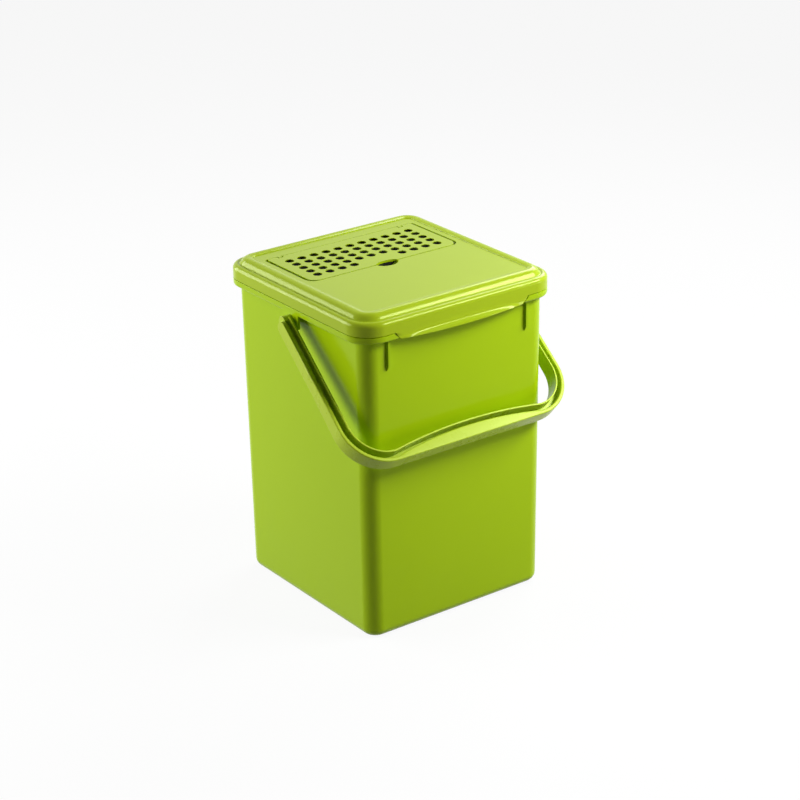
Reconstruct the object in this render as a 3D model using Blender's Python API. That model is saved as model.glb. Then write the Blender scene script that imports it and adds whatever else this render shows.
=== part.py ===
"""Kitchen compost caddy: a square bin with a hinged lid, a vent flap, a carbon filter and a bail.

Metres, +Z up. The origin is the centre of the base, on the surface that the bin stands on. The front,
with the pull lip, faces -Y. Each separate moulding is one object.
"""
import math

import bmesh
import bpy
from mathutils import Matrix, Vector

# Clearances
SEAT_GAP = 0.0003  # between faces that touch
RUN_GAP = 0.0005  # between faces that slide or turn past each other

# Bin: outer sizes at the rim, walls and corners
RIM_Z = 0.2803
BIN_WIDTH = 0.1913
BIN_DEPTH = 0.1938
DRAFT = math.radians(0.40)
BIN_WALL = 0.0024
BIN_FLOOR = 0.003
BIN_CORNER_TOP = 0.014
BIN_CORNER_BASE = 0.012
BASE_FILLET = 0.006
FOOT_WIDTH = 0.009
FOOT_HEIGHT = 0.0015
CORNER_STEPS = 7

# Collar round the rim, flush with the lid's skirt
COLLAR_OVERHANG = 0.00735
COLLAR_HEIGHT = 0.0057
COLLAR_ROUND = 0.0022
COLLAR_CORNER = 0.0237
LIP_GAP_TOP_HALF = 0.0706
LIP_GAP_BASE_HALF = 0.0650

# Upright ribs on the front wall, below the ends of the collar's gap
RIB_X = 0.0730
RIB_WIDTH = 0.0025
RIB_DEPTH = 0.0025
RIB_HEIGHT = 0.0305
RIB_END_SLOPE = 0.006

# Pivot tabs under the collar, one on each side
TAB_WIDTH = 0.0226
TAB_DROP = 0.0112
TAB_THICK = 0.0022
PIVOT_DROP = 0.0113
PIN_RADIUS = 0.0036
PIN_HEAD_RADIUS = 0.0046
PIN_HEAD_LENGTH = 0.0018
HUB_RADIUS = 0.0052

# Bail: its slope at rest, its clearances and its section. Heights are above its pivot's plane
REST_ANGLE = math.radians(40.5)
BAIL_SIDE_GAP = 0.0027
BAIL_FLARE = 0.0020
GRIP_CLEARANCE = 0.0004
BAIL_CORNER = 0.0395
FLANGE_WIDTH = 0.0036
GROOVE_WIDTH = 0.0041
RIM_WIDTH = 0.0016
GRIP_FLANGE_SWELL = 0.0034
GRIP_GROOVE_SWELL = 0.0030
BAIL_BOTTOM = -0.0053
FLANGE_TOP = 0.0057
RIM_TOP = 0.0075
BAIL_FLOOR = 0.0022
GRIP_DROP = 0.0030
GRIP_DROP_START = 0.062
ARM_END_RADIUS = 0.0060

# Lid: insets from the skirt and heights above the rim
SKIRT_HEIGHT = 0.0081
SHOULDER_ROUND = 0.0042
VALLEY_INSET = 0.0056
VALLEY_DROP = 0.0006
RIDGE_FOOT_INSET = 0.0086
RIDGE_INSET = 0.0115
RIDGE_WIDTH = 0.0035
RIDGE_HEIGHT = 0.0174
PANEL_INSET = 0.0182
PANEL_DROP = 0.0017
LID_WALL = 0.0022
PLUG_DEPTH = 0.0068
PLUG_WALL = 0.0018
PLUG_GAP = 0.0010  # round the plug, which swings towards the mouth's back edge as the lid turns

# Pull lip on the front of the skirt
LIP_DROP = 0.0058
LIP_FLARE = 0.0056
LIP_THICK = 0.0020
LIP_STEPS = 12

# Vent flap, its holes and its notch
FLAP_WIDTH = 0.154
FLAP_FRONT_Y = 0.0026
FLAP_BACK_Y = 0.0722
FLAP_THICK = 0.0020
FLAP_CORNER = 0.009
FLAP_BACK_CORNER = 0.0012
HOLE_RADIUS = 0.0036
HOLE_COLUMNS = 11
HOLE_ROWS = 5
HOLE_SIDE_MARGIN = 0.0133
HOLE_BACK_MARGIN = 0.0145
HOLE_FRONT_MARGIN = 0.0125
NOTCH_COLUMNS = (4, 5, 6)
NOTCH_HALF_WIDTH = 0.0110
NOTCH_IN_FLAP = 0.0040
SCOOP_FRONT = 0.0082
SCOOP_DEPTH = 0.0070
HINGE_PIN_INSET = 0.0126
HINGE_RELIEF_WIDTH = 0.0056
HINGE_RELIEF_DEPTH = 0.0030
HINGE_PIN_RADIUS = 0.0007
POST_WIDTH = 0.0030

# Filter pad and the tray that holds it
FLAP_LEDGE_X = 0.0040
FLAP_LEDGE_Y = 0.0028
PAD_THICK = 0.0070
PAD_CORNER = 0.004
TRAY_WALL = 0.0018
TRAY_FLOOR = 0.0016
TRAY_LEDGE = 0.0030
VENT_SLOTS = 7
VENT_SLOT_WIDTH = 0.006
VENT_SLOT_LENGTH = 0.048
VENT_SLOT_PITCH = 0.0195

# Rear hinge: a bar between two cheeks on the bin, a hook on the lid
HINGE_X = 0.052
HINGE_OUT = 0.0056
HINGE_DROP = 0.0040
HINGE_BAR_RADIUS = 0.0024
HOOK_RADIUS = 0.0050
HOOK_WIDTH = 0.020
HOOK_MOUTH = 0.0040
CHEEK_THICK = 0.003
CHEEK_RADIUS = 0.0050

# Colours, linear
LIME = (0.42, 0.58, 0.035, 1.0)
LIME_DEEP = (0.40, 0.56, 0.03, 1.0)
CHARCOAL = (0.012, 0.012, 0.011, 1.0)

# Worked out from the sizes above
LID_WIDTH = BIN_WIDTH + 2 * COLLAR_OVERHANG
LID_DEPTH = BIN_DEPTH + 2 * COLLAR_OVERHANG
COLLAR_UNDER_Z = RIM_Z - COLLAR_HEIGHT
LID_Z = RIM_Z + SEAT_GAP
PANEL_Z = LID_Z + RIDGE_HEIGHT - PANEL_DROP
PIVOT_Z = RIM_Z - PIVOT_DROP
FLAP_TOP_Z = PANEL_Z + SEAT_GAP
FLAP_AXIS_Y = FLAP_BACK_Y
FLAP_AXIS_Z = FLAP_TOP_Z - FLAP_THICK / 2
FLAP_CENTRE_Y = (FLAP_FRONT_Y + FLAP_BACK_Y) / 2
PAD_CENTRE_Y = FLAP_CENTRE_Y
FLAP_SEAT_Z = FLAP_TOP_Z - FLAP_THICK - SEAT_GAP
PAD_TOP_Z = FLAP_SEAT_Z - SEAT_GAP
TRAY_FLOOR_Z = PAD_TOP_Z - PAD_THICK - SEAT_GAP
FLAP_DEPTH = FLAP_BACK_Y - FLAP_FRONT_Y
FLAP_HINGE_X = FLAP_WIDTH / 2 - HINGE_PIN_INSET
PAD_WIDTH = FLAP_WIDTH - 2 * FLAP_LEDGE_X
PAD_DEPTH = FLAP_DEPTH - 2 * FLAP_LEDGE_Y
HOLE_PITCH_X = (FLAP_WIDTH - 2 * HOLE_SIDE_MARGIN) / (HOLE_COLUMNS - 1)
HOLE_PITCH_Y = (FLAP_DEPTH - HOLE_BACK_MARGIN - HOLE_FRONT_MARGIN) / (HOLE_ROWS - 1)
HOLE_BACK_Y = FLAP_BACK_Y - HOLE_BACK_MARGIN
BAIL_WIDTH = FLANGE_WIDTH + GROOVE_WIDTH + RIM_WIDTH
BAIL_HALF_TOP = LID_WIDTH / 2 + BAIL_SIDE_GAP + BAIL_WIDTH
BAIL_HALF_LOW = BAIL_HALF_TOP + BAIL_FLARE
GRIP_SWELL = GRIP_FLANGE_SWELL + GRIP_GROOVE_SWELL
GRIP_LOW = GRIP_DROP - BAIL_BOTTOM
GRIP_BACK_REACH = (BIN_DEPTH / 2 + GRIP_CLEARANCE + GRIP_LOW * math.sin(REST_ANGLE)) / math.cos(REST_ANGLE)
BAIL_REACH = GRIP_BACK_REACH + GRIP_SWELL + BAIL_WIDTH
HINGE_Y = LID_DEPTH / 2 + HINGE_OUT
HINGE_Z = RIM_Z - HINGE_DROP


def clear_scene():
    """Remove every object, so that the file holds the caddy alone."""
    for obj in list(bpy.data.objects):
        bpy.data.objects.remove(obj, do_unlink=True)


def make_collection(name):
    """Add a collection to the scene and return it."""
    collection = bpy.data.collections.new(name)
    bpy.context.scene.collection.children.link(collection)
    return collection


def make_material(name, colour, roughness):
    """A plain Principled material, all of the caddy being plastic or carbon."""
    material = bpy.data.materials.new(name)
    material.use_nodes = True
    shader = material.node_tree.nodes["Principled BSDF"]
    shader.inputs["Base Color"].default_value = colour
    shader.inputs["Roughness"].default_value = roughness
    shader.inputs["Metallic"].default_value = 0.0
    material.diffuse_color = colour
    return material


def add_object(name, mesh_data, collection):
    """Make a mesh object from a bmesh, with its faces pointing out."""
    bmesh.ops.recalc_face_normals(mesh_data, faces=mesh_data.faces)
    mesh = bpy.data.meshes.new(name)
    mesh_data.to_mesh(mesh)
    mesh_data.free()
    obj = bpy.data.objects.new(name, mesh)
    collection.objects.link(obj)
    return obj


def rounded_ring(half_x, half_y, front_radius, z, centre_y=0.0, back_radius=None):
    """Points of a rounded rectangle at height z, anticlockwise from +X.

    The back corners take the front's radius unless they have their own.
    """
    points = []
    for quarter in range(4):
        start = quarter * math.pi / 2
        sign_x = 1 if quarter in (0, 3) else -1
        sign_y = 1 if quarter in (0, 1) else -1
        radius = front_radius if sign_y < 0 or back_radius is None else back_radius
        for step in range(CORNER_STEPS):
            angle = start + step * math.pi / 2 / (CORNER_STEPS - 1)
            x = sign_x * (half_x - radius) + radius * math.cos(angle)
            y = sign_y * (half_y - radius) + radius * math.sin(angle)
            points.append(Vector((x, y + centre_y, z)))
    return points


def loft(name, rings, collection):
    """A closed solid through rings of equal point counts, capped at both ends."""
    mesh_data = bmesh.new()
    loops = [[mesh_data.verts.new(point) for point in ring] for ring in rings]
    count = len(loops[0])
    for low, high in zip(loops, loops[1:]):
        for index in range(count):
            after = (index + 1) % count
            mesh_data.faces.new((low[index], low[after], high[after], high[index]))
    mesh_data.faces.new(loops[0])
    mesh_data.faces.new(loops[-1])
    return add_object(name, mesh_data, collection)


def block(name, low, high, collection):
    """A box between two corners."""
    low = Vector(low)
    high = Vector(high)
    size = high - low
    mesh_data = bmesh.new()
    placing = Matrix.Translation((low + high) / 2) @ Matrix.Diagonal((*size, 1.0))
    bmesh.ops.create_cube(mesh_data, size=1.0, matrix=placing)
    return add_object(name, mesh_data, collection)


def rod_along_x(name, radius, x_low, x_high, y, z, collection, sides=20, end_radius=None):
    """A cylinder or cone whose axis runs along X, from x_low to x_high."""
    mesh_data = bmesh.new()
    turn = Matrix.Rotation(math.pi / 2, 4, "Y")
    placing = Matrix.Translation(((x_low + x_high) / 2, y, z)) @ turn
    bmesh.ops.create_cone(
        mesh_data,
        cap_ends=True,
        segments=sides,
        radius1=radius,
        radius2=radius if end_radius is None else end_radius,
        depth=x_high - x_low,
        matrix=placing,
    )
    return add_object(name, mesh_data, collection)


def plate(name, outline, low, high, placing, collection):
    """A flat outline, drawn as a filled 2D curve, made solid from low to high along its normal."""
    curve = bpy.data.curves.new(name, "CURVE")
    curve.dimensions = "2D"
    curve.fill_mode = "BOTH"
    curve.extrude = (high - low) / 2
    spline = curve.splines.new("POLY")
    spline.points.add(len(outline) - 1)
    for point, (across, along) in zip(spline.points, outline):
        point.co = (across, along, 0.0, 1.0)
    spline.use_cyclic_u = True
    drawn = bpy.data.objects.new(name + "_outline", curve)
    collection.objects.link(drawn)
    drawn.matrix_world = placing @ Matrix.Translation((0.0, 0.0, (low + high) / 2))
    bpy.context.view_layer.update()
    evaluated = drawn.evaluated_get(bpy.context.evaluated_depsgraph_get())
    mesh = bpy.data.meshes.new_from_object(evaluated)
    mesh_data = bmesh.new()
    mesh_data.from_mesh(mesh)
    bmesh.ops.remove_doubles(mesh_data, verts=mesh_data.verts, dist=1e-6)
    mesh_data.transform(drawn.matrix_world)
    bpy.data.objects.remove(drawn, do_unlink=True)
    bpy.data.meshes.remove(mesh)
    return add_object(name, mesh_data, collection)


def combine(target, tool, operation, cutters):
    """Cut or join a tool solid with a live Boolean, and put the tool among the cutters."""
    modifier = target.modifiers.new(tool.name, "BOOLEAN")
    modifier.operation = operation
    modifier.solver = "EXACT"
    modifier.object = tool
    tool.hide_render = True
    tool.display_type = "WIRE"
    for collection in list(tool.users_collection):
        collection.objects.unlink(tool)
    cutters.objects.link(tool)


def wall_inset(z):
    """How far the drafted bin wall stands in from its size at the rim, at height z."""
    return (RIM_Z - z) * math.tan(DRAFT)


def wall_corner(z):
    """Corner radius of the bin's outer wall at height z."""
    return BIN_CORNER_BASE + (BIN_CORNER_TOP - BIN_CORNER_BASE) * z / RIM_Z


def bin_ring(z, inset=0.0):
    """The bin's outer outline at height z, moved in by an inset."""
    shrink = wall_inset(z) + inset
    radius = max(wall_corner(z) - inset, 0.001)
    return rounded_ring(BIN_WIDTH / 2 - shrink, BIN_DEPTH / 2 - shrink, radius, z)


def rim_ring(inset, z):
    """The outline of the collar and the lid's skirt, moved in by an inset."""
    radius = max(COLLAR_CORNER - inset, 0.004)
    return rounded_ring(LID_WIDTH / 2 - inset, LID_DEPTH / 2 - inset, radius, z)


def bin_outside():
    """Rings of the bin's outside, from the base fillet up to the collar's top."""
    rings = []
    for degrees in (0, 30, 60, 90):
        angle = math.radians(degrees)
        z = BASE_FILLET * (1 - math.cos(angle))
        rings.append(bin_ring(z, BASE_FILLET * (1 - math.sin(angle))))
    for z in (RIM_Z / 3, RIM_Z * 2 / 3, COLLAR_UNDER_Z - COLLAR_ROUND / 4):
        rings.append(bin_ring(z))
    rings.append(rim_ring(COLLAR_OVERHANG / 2, COLLAR_UNDER_Z))
    rings.append(rim_ring(COLLAR_ROUND / 2, COLLAR_UNDER_Z + COLLAR_ROUND / 4))
    rings.append(rim_ring(0.0, COLLAR_UNDER_Z + COLLAR_ROUND))
    rings.append(rim_ring(0.0, RIM_Z))
    return rings


def front_plane(y):
    """Placing for a plate drawn in X and Z, whose thickness runs from y towards the back."""
    return Matrix.Translation((0.0, y, 0.0)) @ Matrix.Rotation(math.pi / 2, 4, "X")


def side_plane():
    """Placing for a plate drawn in Y and Z, whose thickness runs along X."""
    return Matrix(((0, 0, 1, 0), (1, 0, 0, 0), (0, 1, 0, 0), (0, 0, 0, 1)))


def build_bin(parts, cutters, material):
    """The bin with its collar, tabs, ribs and hinge brackets."""
    bin_body = loft("bin_body", bin_outside(), parts)
    bin_body.data.materials.append(material)
    over = COLLAR_HEIGHT

    for side in (-1, 1):
        outer = side * LID_WIDTH / 2
        inner = side * (LID_WIDTH / 2 - TAB_THICK)
        tab = block(
            "pivot_tab",
            (min(outer, inner), -TAB_WIDTH / 2, COLLAR_UNDER_Z - TAB_DROP),
            (max(outer, inner), TAB_WIDTH / 2, RIM_Z - COLLAR_ROUND),
            parts,
        )
        combine(bin_body, tab, "UNION", cutters)
        rib_front = -(BIN_DEPTH / 2 + RIB_DEPTH)
        rib_back = -(BIN_DEPTH / 2 - BIN_WALL)
        rib_low = COLLAR_UNDER_Z - RIB_HEIGHT
        rib = plate(
            "front_rib",
            [
                (rib_front, rib_low + RIB_END_SLOPE),
                (rib_back, rib_low),
                (rib_back, COLLAR_UNDER_Z + COLLAR_ROUND),
                (rib_front, COLLAR_UNDER_Z + COLLAR_ROUND),
            ],
            side * RIB_X - RIB_WIDTH / 2,
            side * RIB_X + RIB_WIDTH / 2,
            side_plane(),
            parts,
        )
        combine(bin_body, rib, "UNION", cutters)
        for cheek_side in (-1, 1):
            middle = side * HINGE_X + cheek_side * (HOOK_WIDTH / 2 + RUN_GAP + CHEEK_THICK / 2)
            build_cheek(bin_body, middle, parts, cutters)
        reach = HOOK_WIDTH / 2 + RUN_GAP + CHEEK_THICK / 2
        bar = rod_along_x(
            "hinge_bar",
            HINGE_BAR_RADIUS,
            side * HINGE_X - reach,
            side * HINGE_X + reach,
            HINGE_Y,
            HINGE_Z,
            parts,
            sides=16,
        )
        combine(bin_body, bar, "UNION", cutters)

    inside = [bin_ring(BIN_FLOOR, BIN_WALL), bin_ring(RIM_Z / 2, BIN_WALL), bin_ring(RIM_Z + over, BIN_WALL)]
    combine(bin_body, loft("bin_inside", inside, parts), "DIFFERENCE", cutters)

    foot = [bin_ring(-over, BASE_FILLET + FOOT_WIDTH), bin_ring(FOOT_HEIGHT, BASE_FILLET + FOOT_WIDTH)]
    combine(bin_body, loft("foot_recess", foot, parts), "DIFFERENCE", cutters)

    slope = (LIP_GAP_TOP_HALF - LIP_GAP_BASE_HALF) / COLLAR_HEIGHT
    low_half = LIP_GAP_BASE_HALF - slope * over
    high_half = LIP_GAP_TOP_HALF + slope * over
    lip_gap = plate(
        "lip_gap",
        [
            (-low_half, COLLAR_UNDER_Z - over),
            (low_half, COLLAR_UNDER_Z - over),
            (high_half, RIM_Z + over),
            (-high_half, RIM_Z + over),
        ],
        BIN_DEPTH / 2 + SEAT_GAP,
        BIN_DEPTH / 2 + 2 * COLLAR_OVERHANG,
        front_plane(0.0),
        parts,
    )
    combine(bin_body, lip_gap, "DIFFERENCE", cutters)

    span = LID_WIDTH / 2 + over
    pivot_hole = rod_along_x(
        "pivot_holes", PIN_RADIUS + RUN_GAP, -span, -BIN_WIDTH / 2 - SEAT_GAP, 0.0, PIVOT_Z, parts
    )
    combine(bin_body, pivot_hole, "DIFFERENCE", cutters)
    pivot_hole = rod_along_x(
        "pivot_holes", PIN_RADIUS + RUN_GAP, BIN_WIDTH / 2 + SEAT_GAP, span, 0.0, PIVOT_Z, parts
    )
    combine(bin_body, pivot_hole, "DIFFERENCE", cutters)
    return bin_body


def build_cheek(bin_body, middle, parts, cutters):
    """One cheek of a hinge bracket: a round end behind the collar, with a straight foot into it."""
    low = middle - CHEEK_THICK / 2
    high = middle + CHEEK_THICK / 2
    outline = []
    for step in range(13):
        angle = math.radians(-90 + 15 * step)
        outline.append((HINGE_Y + CHEEK_RADIUS * math.cos(angle), HINGE_Z + CHEEK_RADIUS * math.sin(angle)))
    root = LID_DEPTH / 2 - COLLAR_OVERHANG / 3
    top = RIM_Z - SEAT_GAP
    outline = [(y, min(z, top)) for y, z in outline]
    outline.append((root, top))
    outline.append((root, COLLAR_UNDER_Z + COLLAR_ROUND))
    cheek = plate("hinge_cheek", outline, low, high, side_plane(), parts)
    combine(bin_body, cheek, "UNION", cutters)


def shoulder_rings(wall):
    """Rings of the lid's top surface, from the skirt to the panel, moved inside it by a wall."""
    skirt_top = LID_Z + SKIRT_HEIGHT
    rings = []
    for degrees in (0, 30, 60, 90):
        angle = math.radians(degrees)
        inset = SHOULDER_ROUND - (SHOULDER_ROUND - wall) * math.cos(angle)
        rings.append(rim_ring(inset, skirt_top + (SHOULDER_ROUND - wall) * math.sin(angle)))
    shoulder_z = skirt_top + SHOULDER_ROUND - wall
    ridge_z = LID_Z + RIDGE_HEIGHT - wall
    rings.append(rim_ring(VALLEY_INSET + wall, shoulder_z - VALLEY_DROP))
    rings.append(rim_ring(RIDGE_FOOT_INSET + wall, ridge_z - (ridge_z - shoulder_z) / 5))
    rings.append(rim_ring(RIDGE_INSET + wall / 2, ridge_z))
    rings.append(rim_ring(RIDGE_INSET + RIDGE_WIDTH, ridge_z))
    rings.append(rim_ring(PANEL_INSET - wall, ridge_z - PANEL_DROP * 2 / 3))
    rings.append(rim_ring(PANEL_INSET + SEAT_GAP - wall, PANEL_Z - wall))
    return rings


def pull_lip():
    """The lip's solid: a skirt strip that drops into the collar's gap and curls out to the front."""
    mesh_data = bmesh.new()
    face_y = -LID_DEPTH / 2
    slope = (LIP_GAP_TOP_HALF - LIP_GAP_BASE_HALF) / COLLAR_HEIGHT
    top_z = LID_Z + SKIRT_HEIGHT / 4
    heights = (top_z, LID_Z, RIM_Z - LIP_DROP * 0.45, RIM_Z - LIP_DROP)
    flares = (0.0, 0.0, 0.25, 1.0)
    front = []
    back = []
    for z, flare in zip(heights, flares):
        half = LIP_GAP_TOP_HALF - SEAT_GAP * 2 + slope * (min(z, RIM_Z) - RIM_Z)
        front_row = []
        back_row = []
        for step in range(LIP_STEPS + 1):
            along = -1 + 2 * step / LIP_STEPS
            bow = LIP_FLARE * flare * (1 - along * along)
            front_row.append(mesh_data.verts.new((half * along, face_y - bow, z)))
            back_row.append(mesh_data.verts.new((half * along, face_y - bow + LIP_THICK, z)))
        front.append(front_row)
        back.append(back_row)
    rows = len(heights)
    for row in range(rows - 1):
        for step in range(LIP_STEPS):
            for sheet in (front, back):
                mesh_data.faces.new(
                    (sheet[row][step], sheet[row][step + 1], sheet[row + 1][step + 1], sheet[row + 1][step])
                )
        for end in (0, LIP_STEPS):
            mesh_data.faces.new((front[row][end], back[row][end], back[row + 1][end], front[row + 1][end]))
    for row in (0, rows - 1):
        for step in range(LIP_STEPS):
            mesh_data.faces.new((front[row][step], front[row][step + 1], back[row][step + 1], back[row][step]))
    return mesh_data


def build_lid(parts, cutters, material):
    """The lid with its pull lip, plug wall, filter tray and hinge hooks."""
    lid = loft("lid", [rim_ring(0.0, LID_Z)] + shoulder_rings(0.0), parts)
    lid.data.materials.append(material)
    below = SKIRT_HEIGHT

    hollow = [rim_ring(LID_WALL, LID_Z - below)] + shoulder_rings(LID_WALL)
    combine(lid, loft("lid_hollow", hollow, parts), "DIFFERENCE", cutters)
    combine(lid, add_object("lip", pull_lip(), parts), "UNION", cutters)

    plug_outer = COLLAR_OVERHANG + BIN_WALL + PLUG_GAP
    under = PANEL_Z - LID_WALL / 2
    plug = loft("plug", [plug_ring(plug_outer, RIM_Z - PLUG_DEPTH), plug_ring(plug_outer, under)], parts)
    core_inset = plug_outer + PLUG_WALL
    core = loft(
        "plug_core", [plug_ring(core_inset, RIM_Z - 2 * PLUG_DEPTH), plug_ring(core_inset, under + below)], parts
    )
    combine(plug, core, "DIFFERENCE", cutters)
    combine(lid, plug, "UNION", cutters)

    tray_half_x = PAD_WIDTH / 2 + RUN_GAP + TRAY_WALL
    tray_half_y = PAD_DEPTH / 2 + RUN_GAP + TRAY_WALL
    seat_half_x = FLAP_WIDTH / 2 + RUN_GAP + TRAY_LEDGE
    seat_half_y = FLAP_DEPTH / 2 + RUN_GAP + TRAY_LEDGE
    tray_low = TRAY_FLOOR_Z - TRAY_FLOOR
    seat_low = FLAP_SEAT_Z - LID_WALL
    tray = block(
        "tray",
        (-tray_half_x, PAD_CENTRE_Y - tray_half_y, tray_low),
        (tray_half_x, PAD_CENTRE_Y + tray_half_y, under),
        parts,
    )
    combine(lid, tray, "UNION", cutters)
    seat = block(
        "flap_seat",
        (-seat_half_x, PAD_CENTRE_Y - seat_half_y, seat_low),
        (seat_half_x, PAD_CENTRE_Y + seat_half_y, under),
        parts,
    )
    combine(lid, seat, "UNION", cutters)
    boss_half = NOTCH_HALF_WIDTH + LID_WALL
    boss = block(
        "scoop_boss",
        (-boss_half, FLAP_FRONT_Y - SCOOP_FRONT - LID_WALL, tray_low),
        (boss_half, PAD_CENTRE_Y - PAD_DEPTH / 2, under),
        parts,
    )
    combine(lid, boss, "UNION", cutters)

    rebate = loft("flap_rebate", flap_rings(RUN_GAP, FLAP_SEAT_Z, PANEL_Z + below), parts)
    combine(lid, rebate, "DIFFERENCE", cutters)
    edge_half = FLAP_WIDTH / 2 + RUN_GAP
    edge_room = block(
        "edge_room",
        (-edge_half, FLAP_AXIS_Y - FLAP_THICK, FLAP_SEAT_Z),
        (edge_half, FLAP_AXIS_Y + FLAP_THICK / 2 + RUN_GAP, PANEL_Z + below),
        parts,
    )
    combine(lid, edge_room, "DIFFERENCE", cutters)
    pocket = [
        pad_ring(RUN_GAP, TRAY_FLOOR_Z),
        pad_ring(RUN_GAP, PANEL_Z + below),
    ]
    combine(lid, loft("pad_pocket", pocket, parts), "DIFFERENCE", cutters)
    combine(lid, finger_scoop(parts), "DIFFERENCE", cutters)

    for index in range(VENT_SLOTS):
        x = (index - (VENT_SLOTS - 1) / 2) * VENT_SLOT_PITCH
        slot = block(
            "vent_slot",
            (x - VENT_SLOT_WIDTH / 2, PAD_CENTRE_Y - VENT_SLOT_LENGTH / 2, tray_low - TRAY_FLOOR),
            (x + VENT_SLOT_WIDTH / 2, PAD_CENTRE_Y + VENT_SLOT_LENGTH / 2, TRAY_FLOOR_Z + SEAT_GAP * 2),
            parts,
        )
        combine(lid, slot, "DIFFERENCE", cutters)

    for side in (-1, 1):
        build_post(lid, side * FLAP_HINGE_X, parts, cutters)
        build_hook(lid, side * HINGE_X, parts, cutters)
    return lid


def build_post(lid, middle, parts, cutters):
    """One post at the back of the rebate, with the snap slot that the flap's hinge pin turns in."""
    low = middle - POST_WIDTH / 2
    high = middle + POST_WIDTH / 2
    front_y = FLAP_AXIS_Y - FLAP_THICK
    back_y = FLAP_AXIS_Y + FLAP_THICK
    post = block(
        "hinge_post", (low, front_y, FLAP_SEAT_Z - SEAT_GAP), (high, back_y, FLAP_TOP_Z), parts
    )
    bore_radius = HINGE_PIN_RADIUS + SEAT_GAP
    bore = rod_along_x(
        "post_bore",
        bore_radius,
        low - POST_WIDTH,
        high + POST_WIDTH,
        FLAP_AXIS_Y,
        FLAP_AXIS_Z,
        parts,
        sides=12,
    )
    combine(post, bore, "DIFFERENCE", cutters)
    slot = block(
        "post_slot",
        (low - POST_WIDTH, FLAP_AXIS_Y - HINGE_PIN_RADIUS / 2, FLAP_AXIS_Z),
        (high + POST_WIDTH, FLAP_AXIS_Y + HINGE_PIN_RADIUS / 2, FLAP_TOP_Z + FLAP_THICK),
        parts,
    )
    combine(post, slot, "DIFFERENCE", cutters)
    combine(lid, post, "UNION", cutters)


def plug_ring(inset, z):
    """Outline of the plug wall, which follows the bin's mouth."""
    radius = max(BIN_CORNER_TOP - (inset - COLLAR_OVERHANG), 0.004)
    return rounded_ring(LID_WIDTH / 2 - inset, LID_DEPTH / 2 - inset, radius, z)


def flap_rings(grow, low, high):
    """The flap's outline at two heights, grown by a clearance."""
    half_x = FLAP_WIDTH / 2 + grow
    half_y = FLAP_DEPTH / 2 + grow
    corners = (FLAP_CORNER + grow, FLAP_BACK_CORNER + grow)
    return [rounded_ring(half_x, half_y, corners[0], z, FLAP_CENTRE_Y, corners[1]) for z in (low, high)]


def pad_ring(grow, z):
    """The filter pad's outline at height z, grown by a clearance."""
    return rounded_ring(PAD_WIDTH / 2 + grow, PAD_DEPTH / 2 + grow, PAD_CORNER + grow, z, PAD_CENTRE_Y)


def finger_scoop(parts):
    """The dish that a fingertip uses to get under the flap."""
    mesh_data = bmesh.new()
    centre = Vector((0.0, FLAP_FRONT_Y, FLAP_TOP_Z))
    stretch = Matrix.Diagonal((NOTCH_HALF_WIDTH, SCOOP_FRONT, SCOOP_DEPTH, 1.0))
    placing = Matrix.Translation(centre) @ stretch
    bmesh.ops.create_uvsphere(mesh_data, u_segments=20, v_segments=10, radius=1.0, matrix=placing)
    return add_object("finger_scoop", mesh_data, parts)


def build_hook(lid, middle, parts, cutters):
    """One hinge hook: a thick ring round the bin's bar, open below, with a foot into the skirt."""
    low = middle - HOOK_WIDTH / 2
    high = middle + HOOK_WIDTH / 2
    foot_y = LID_DEPTH / 2 - LID_WALL / 2
    outline = []
    for step in range(20):
        angle = math.radians(-180 + 15 * step)
        outline.append((HINGE_Y + HOOK_RADIUS * math.cos(angle), HINGE_Z + HOOK_RADIUS * math.sin(angle)))
    outline.append((foot_y, LID_Z + SKIRT_HEIGHT - SHOULDER_ROUND / 2))
    outline.append((foot_y, LID_Z + SEAT_GAP))
    outline.append((LID_DEPTH / 2 + SEAT_GAP, LID_Z + SEAT_GAP))
    hook = plate("hinge_hook", outline, low, high, side_plane(), parts)
    over = CHEEK_THICK
    bore = rod_along_x(
        "hook_bore", HINGE_BAR_RADIUS + RUN_GAP, low - over, high + over, HINGE_Y, HINGE_Z, parts, sides=16
    )
    combine(hook, bore, "DIFFERENCE", cutters)
    mouth = block(
        "hook_mouth",
        (low - over, HINGE_Y - 2 * HOOK_RADIUS, HINGE_Z - 2 * HOOK_RADIUS),
        (high + over, HINGE_Y + HOOK_MOUTH / 2, HINGE_Z),
        parts,
    )
    combine(hook, mouth, "DIFFERENCE", cutters)
    combine(lid, hook, "UNION", cutters)


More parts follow.
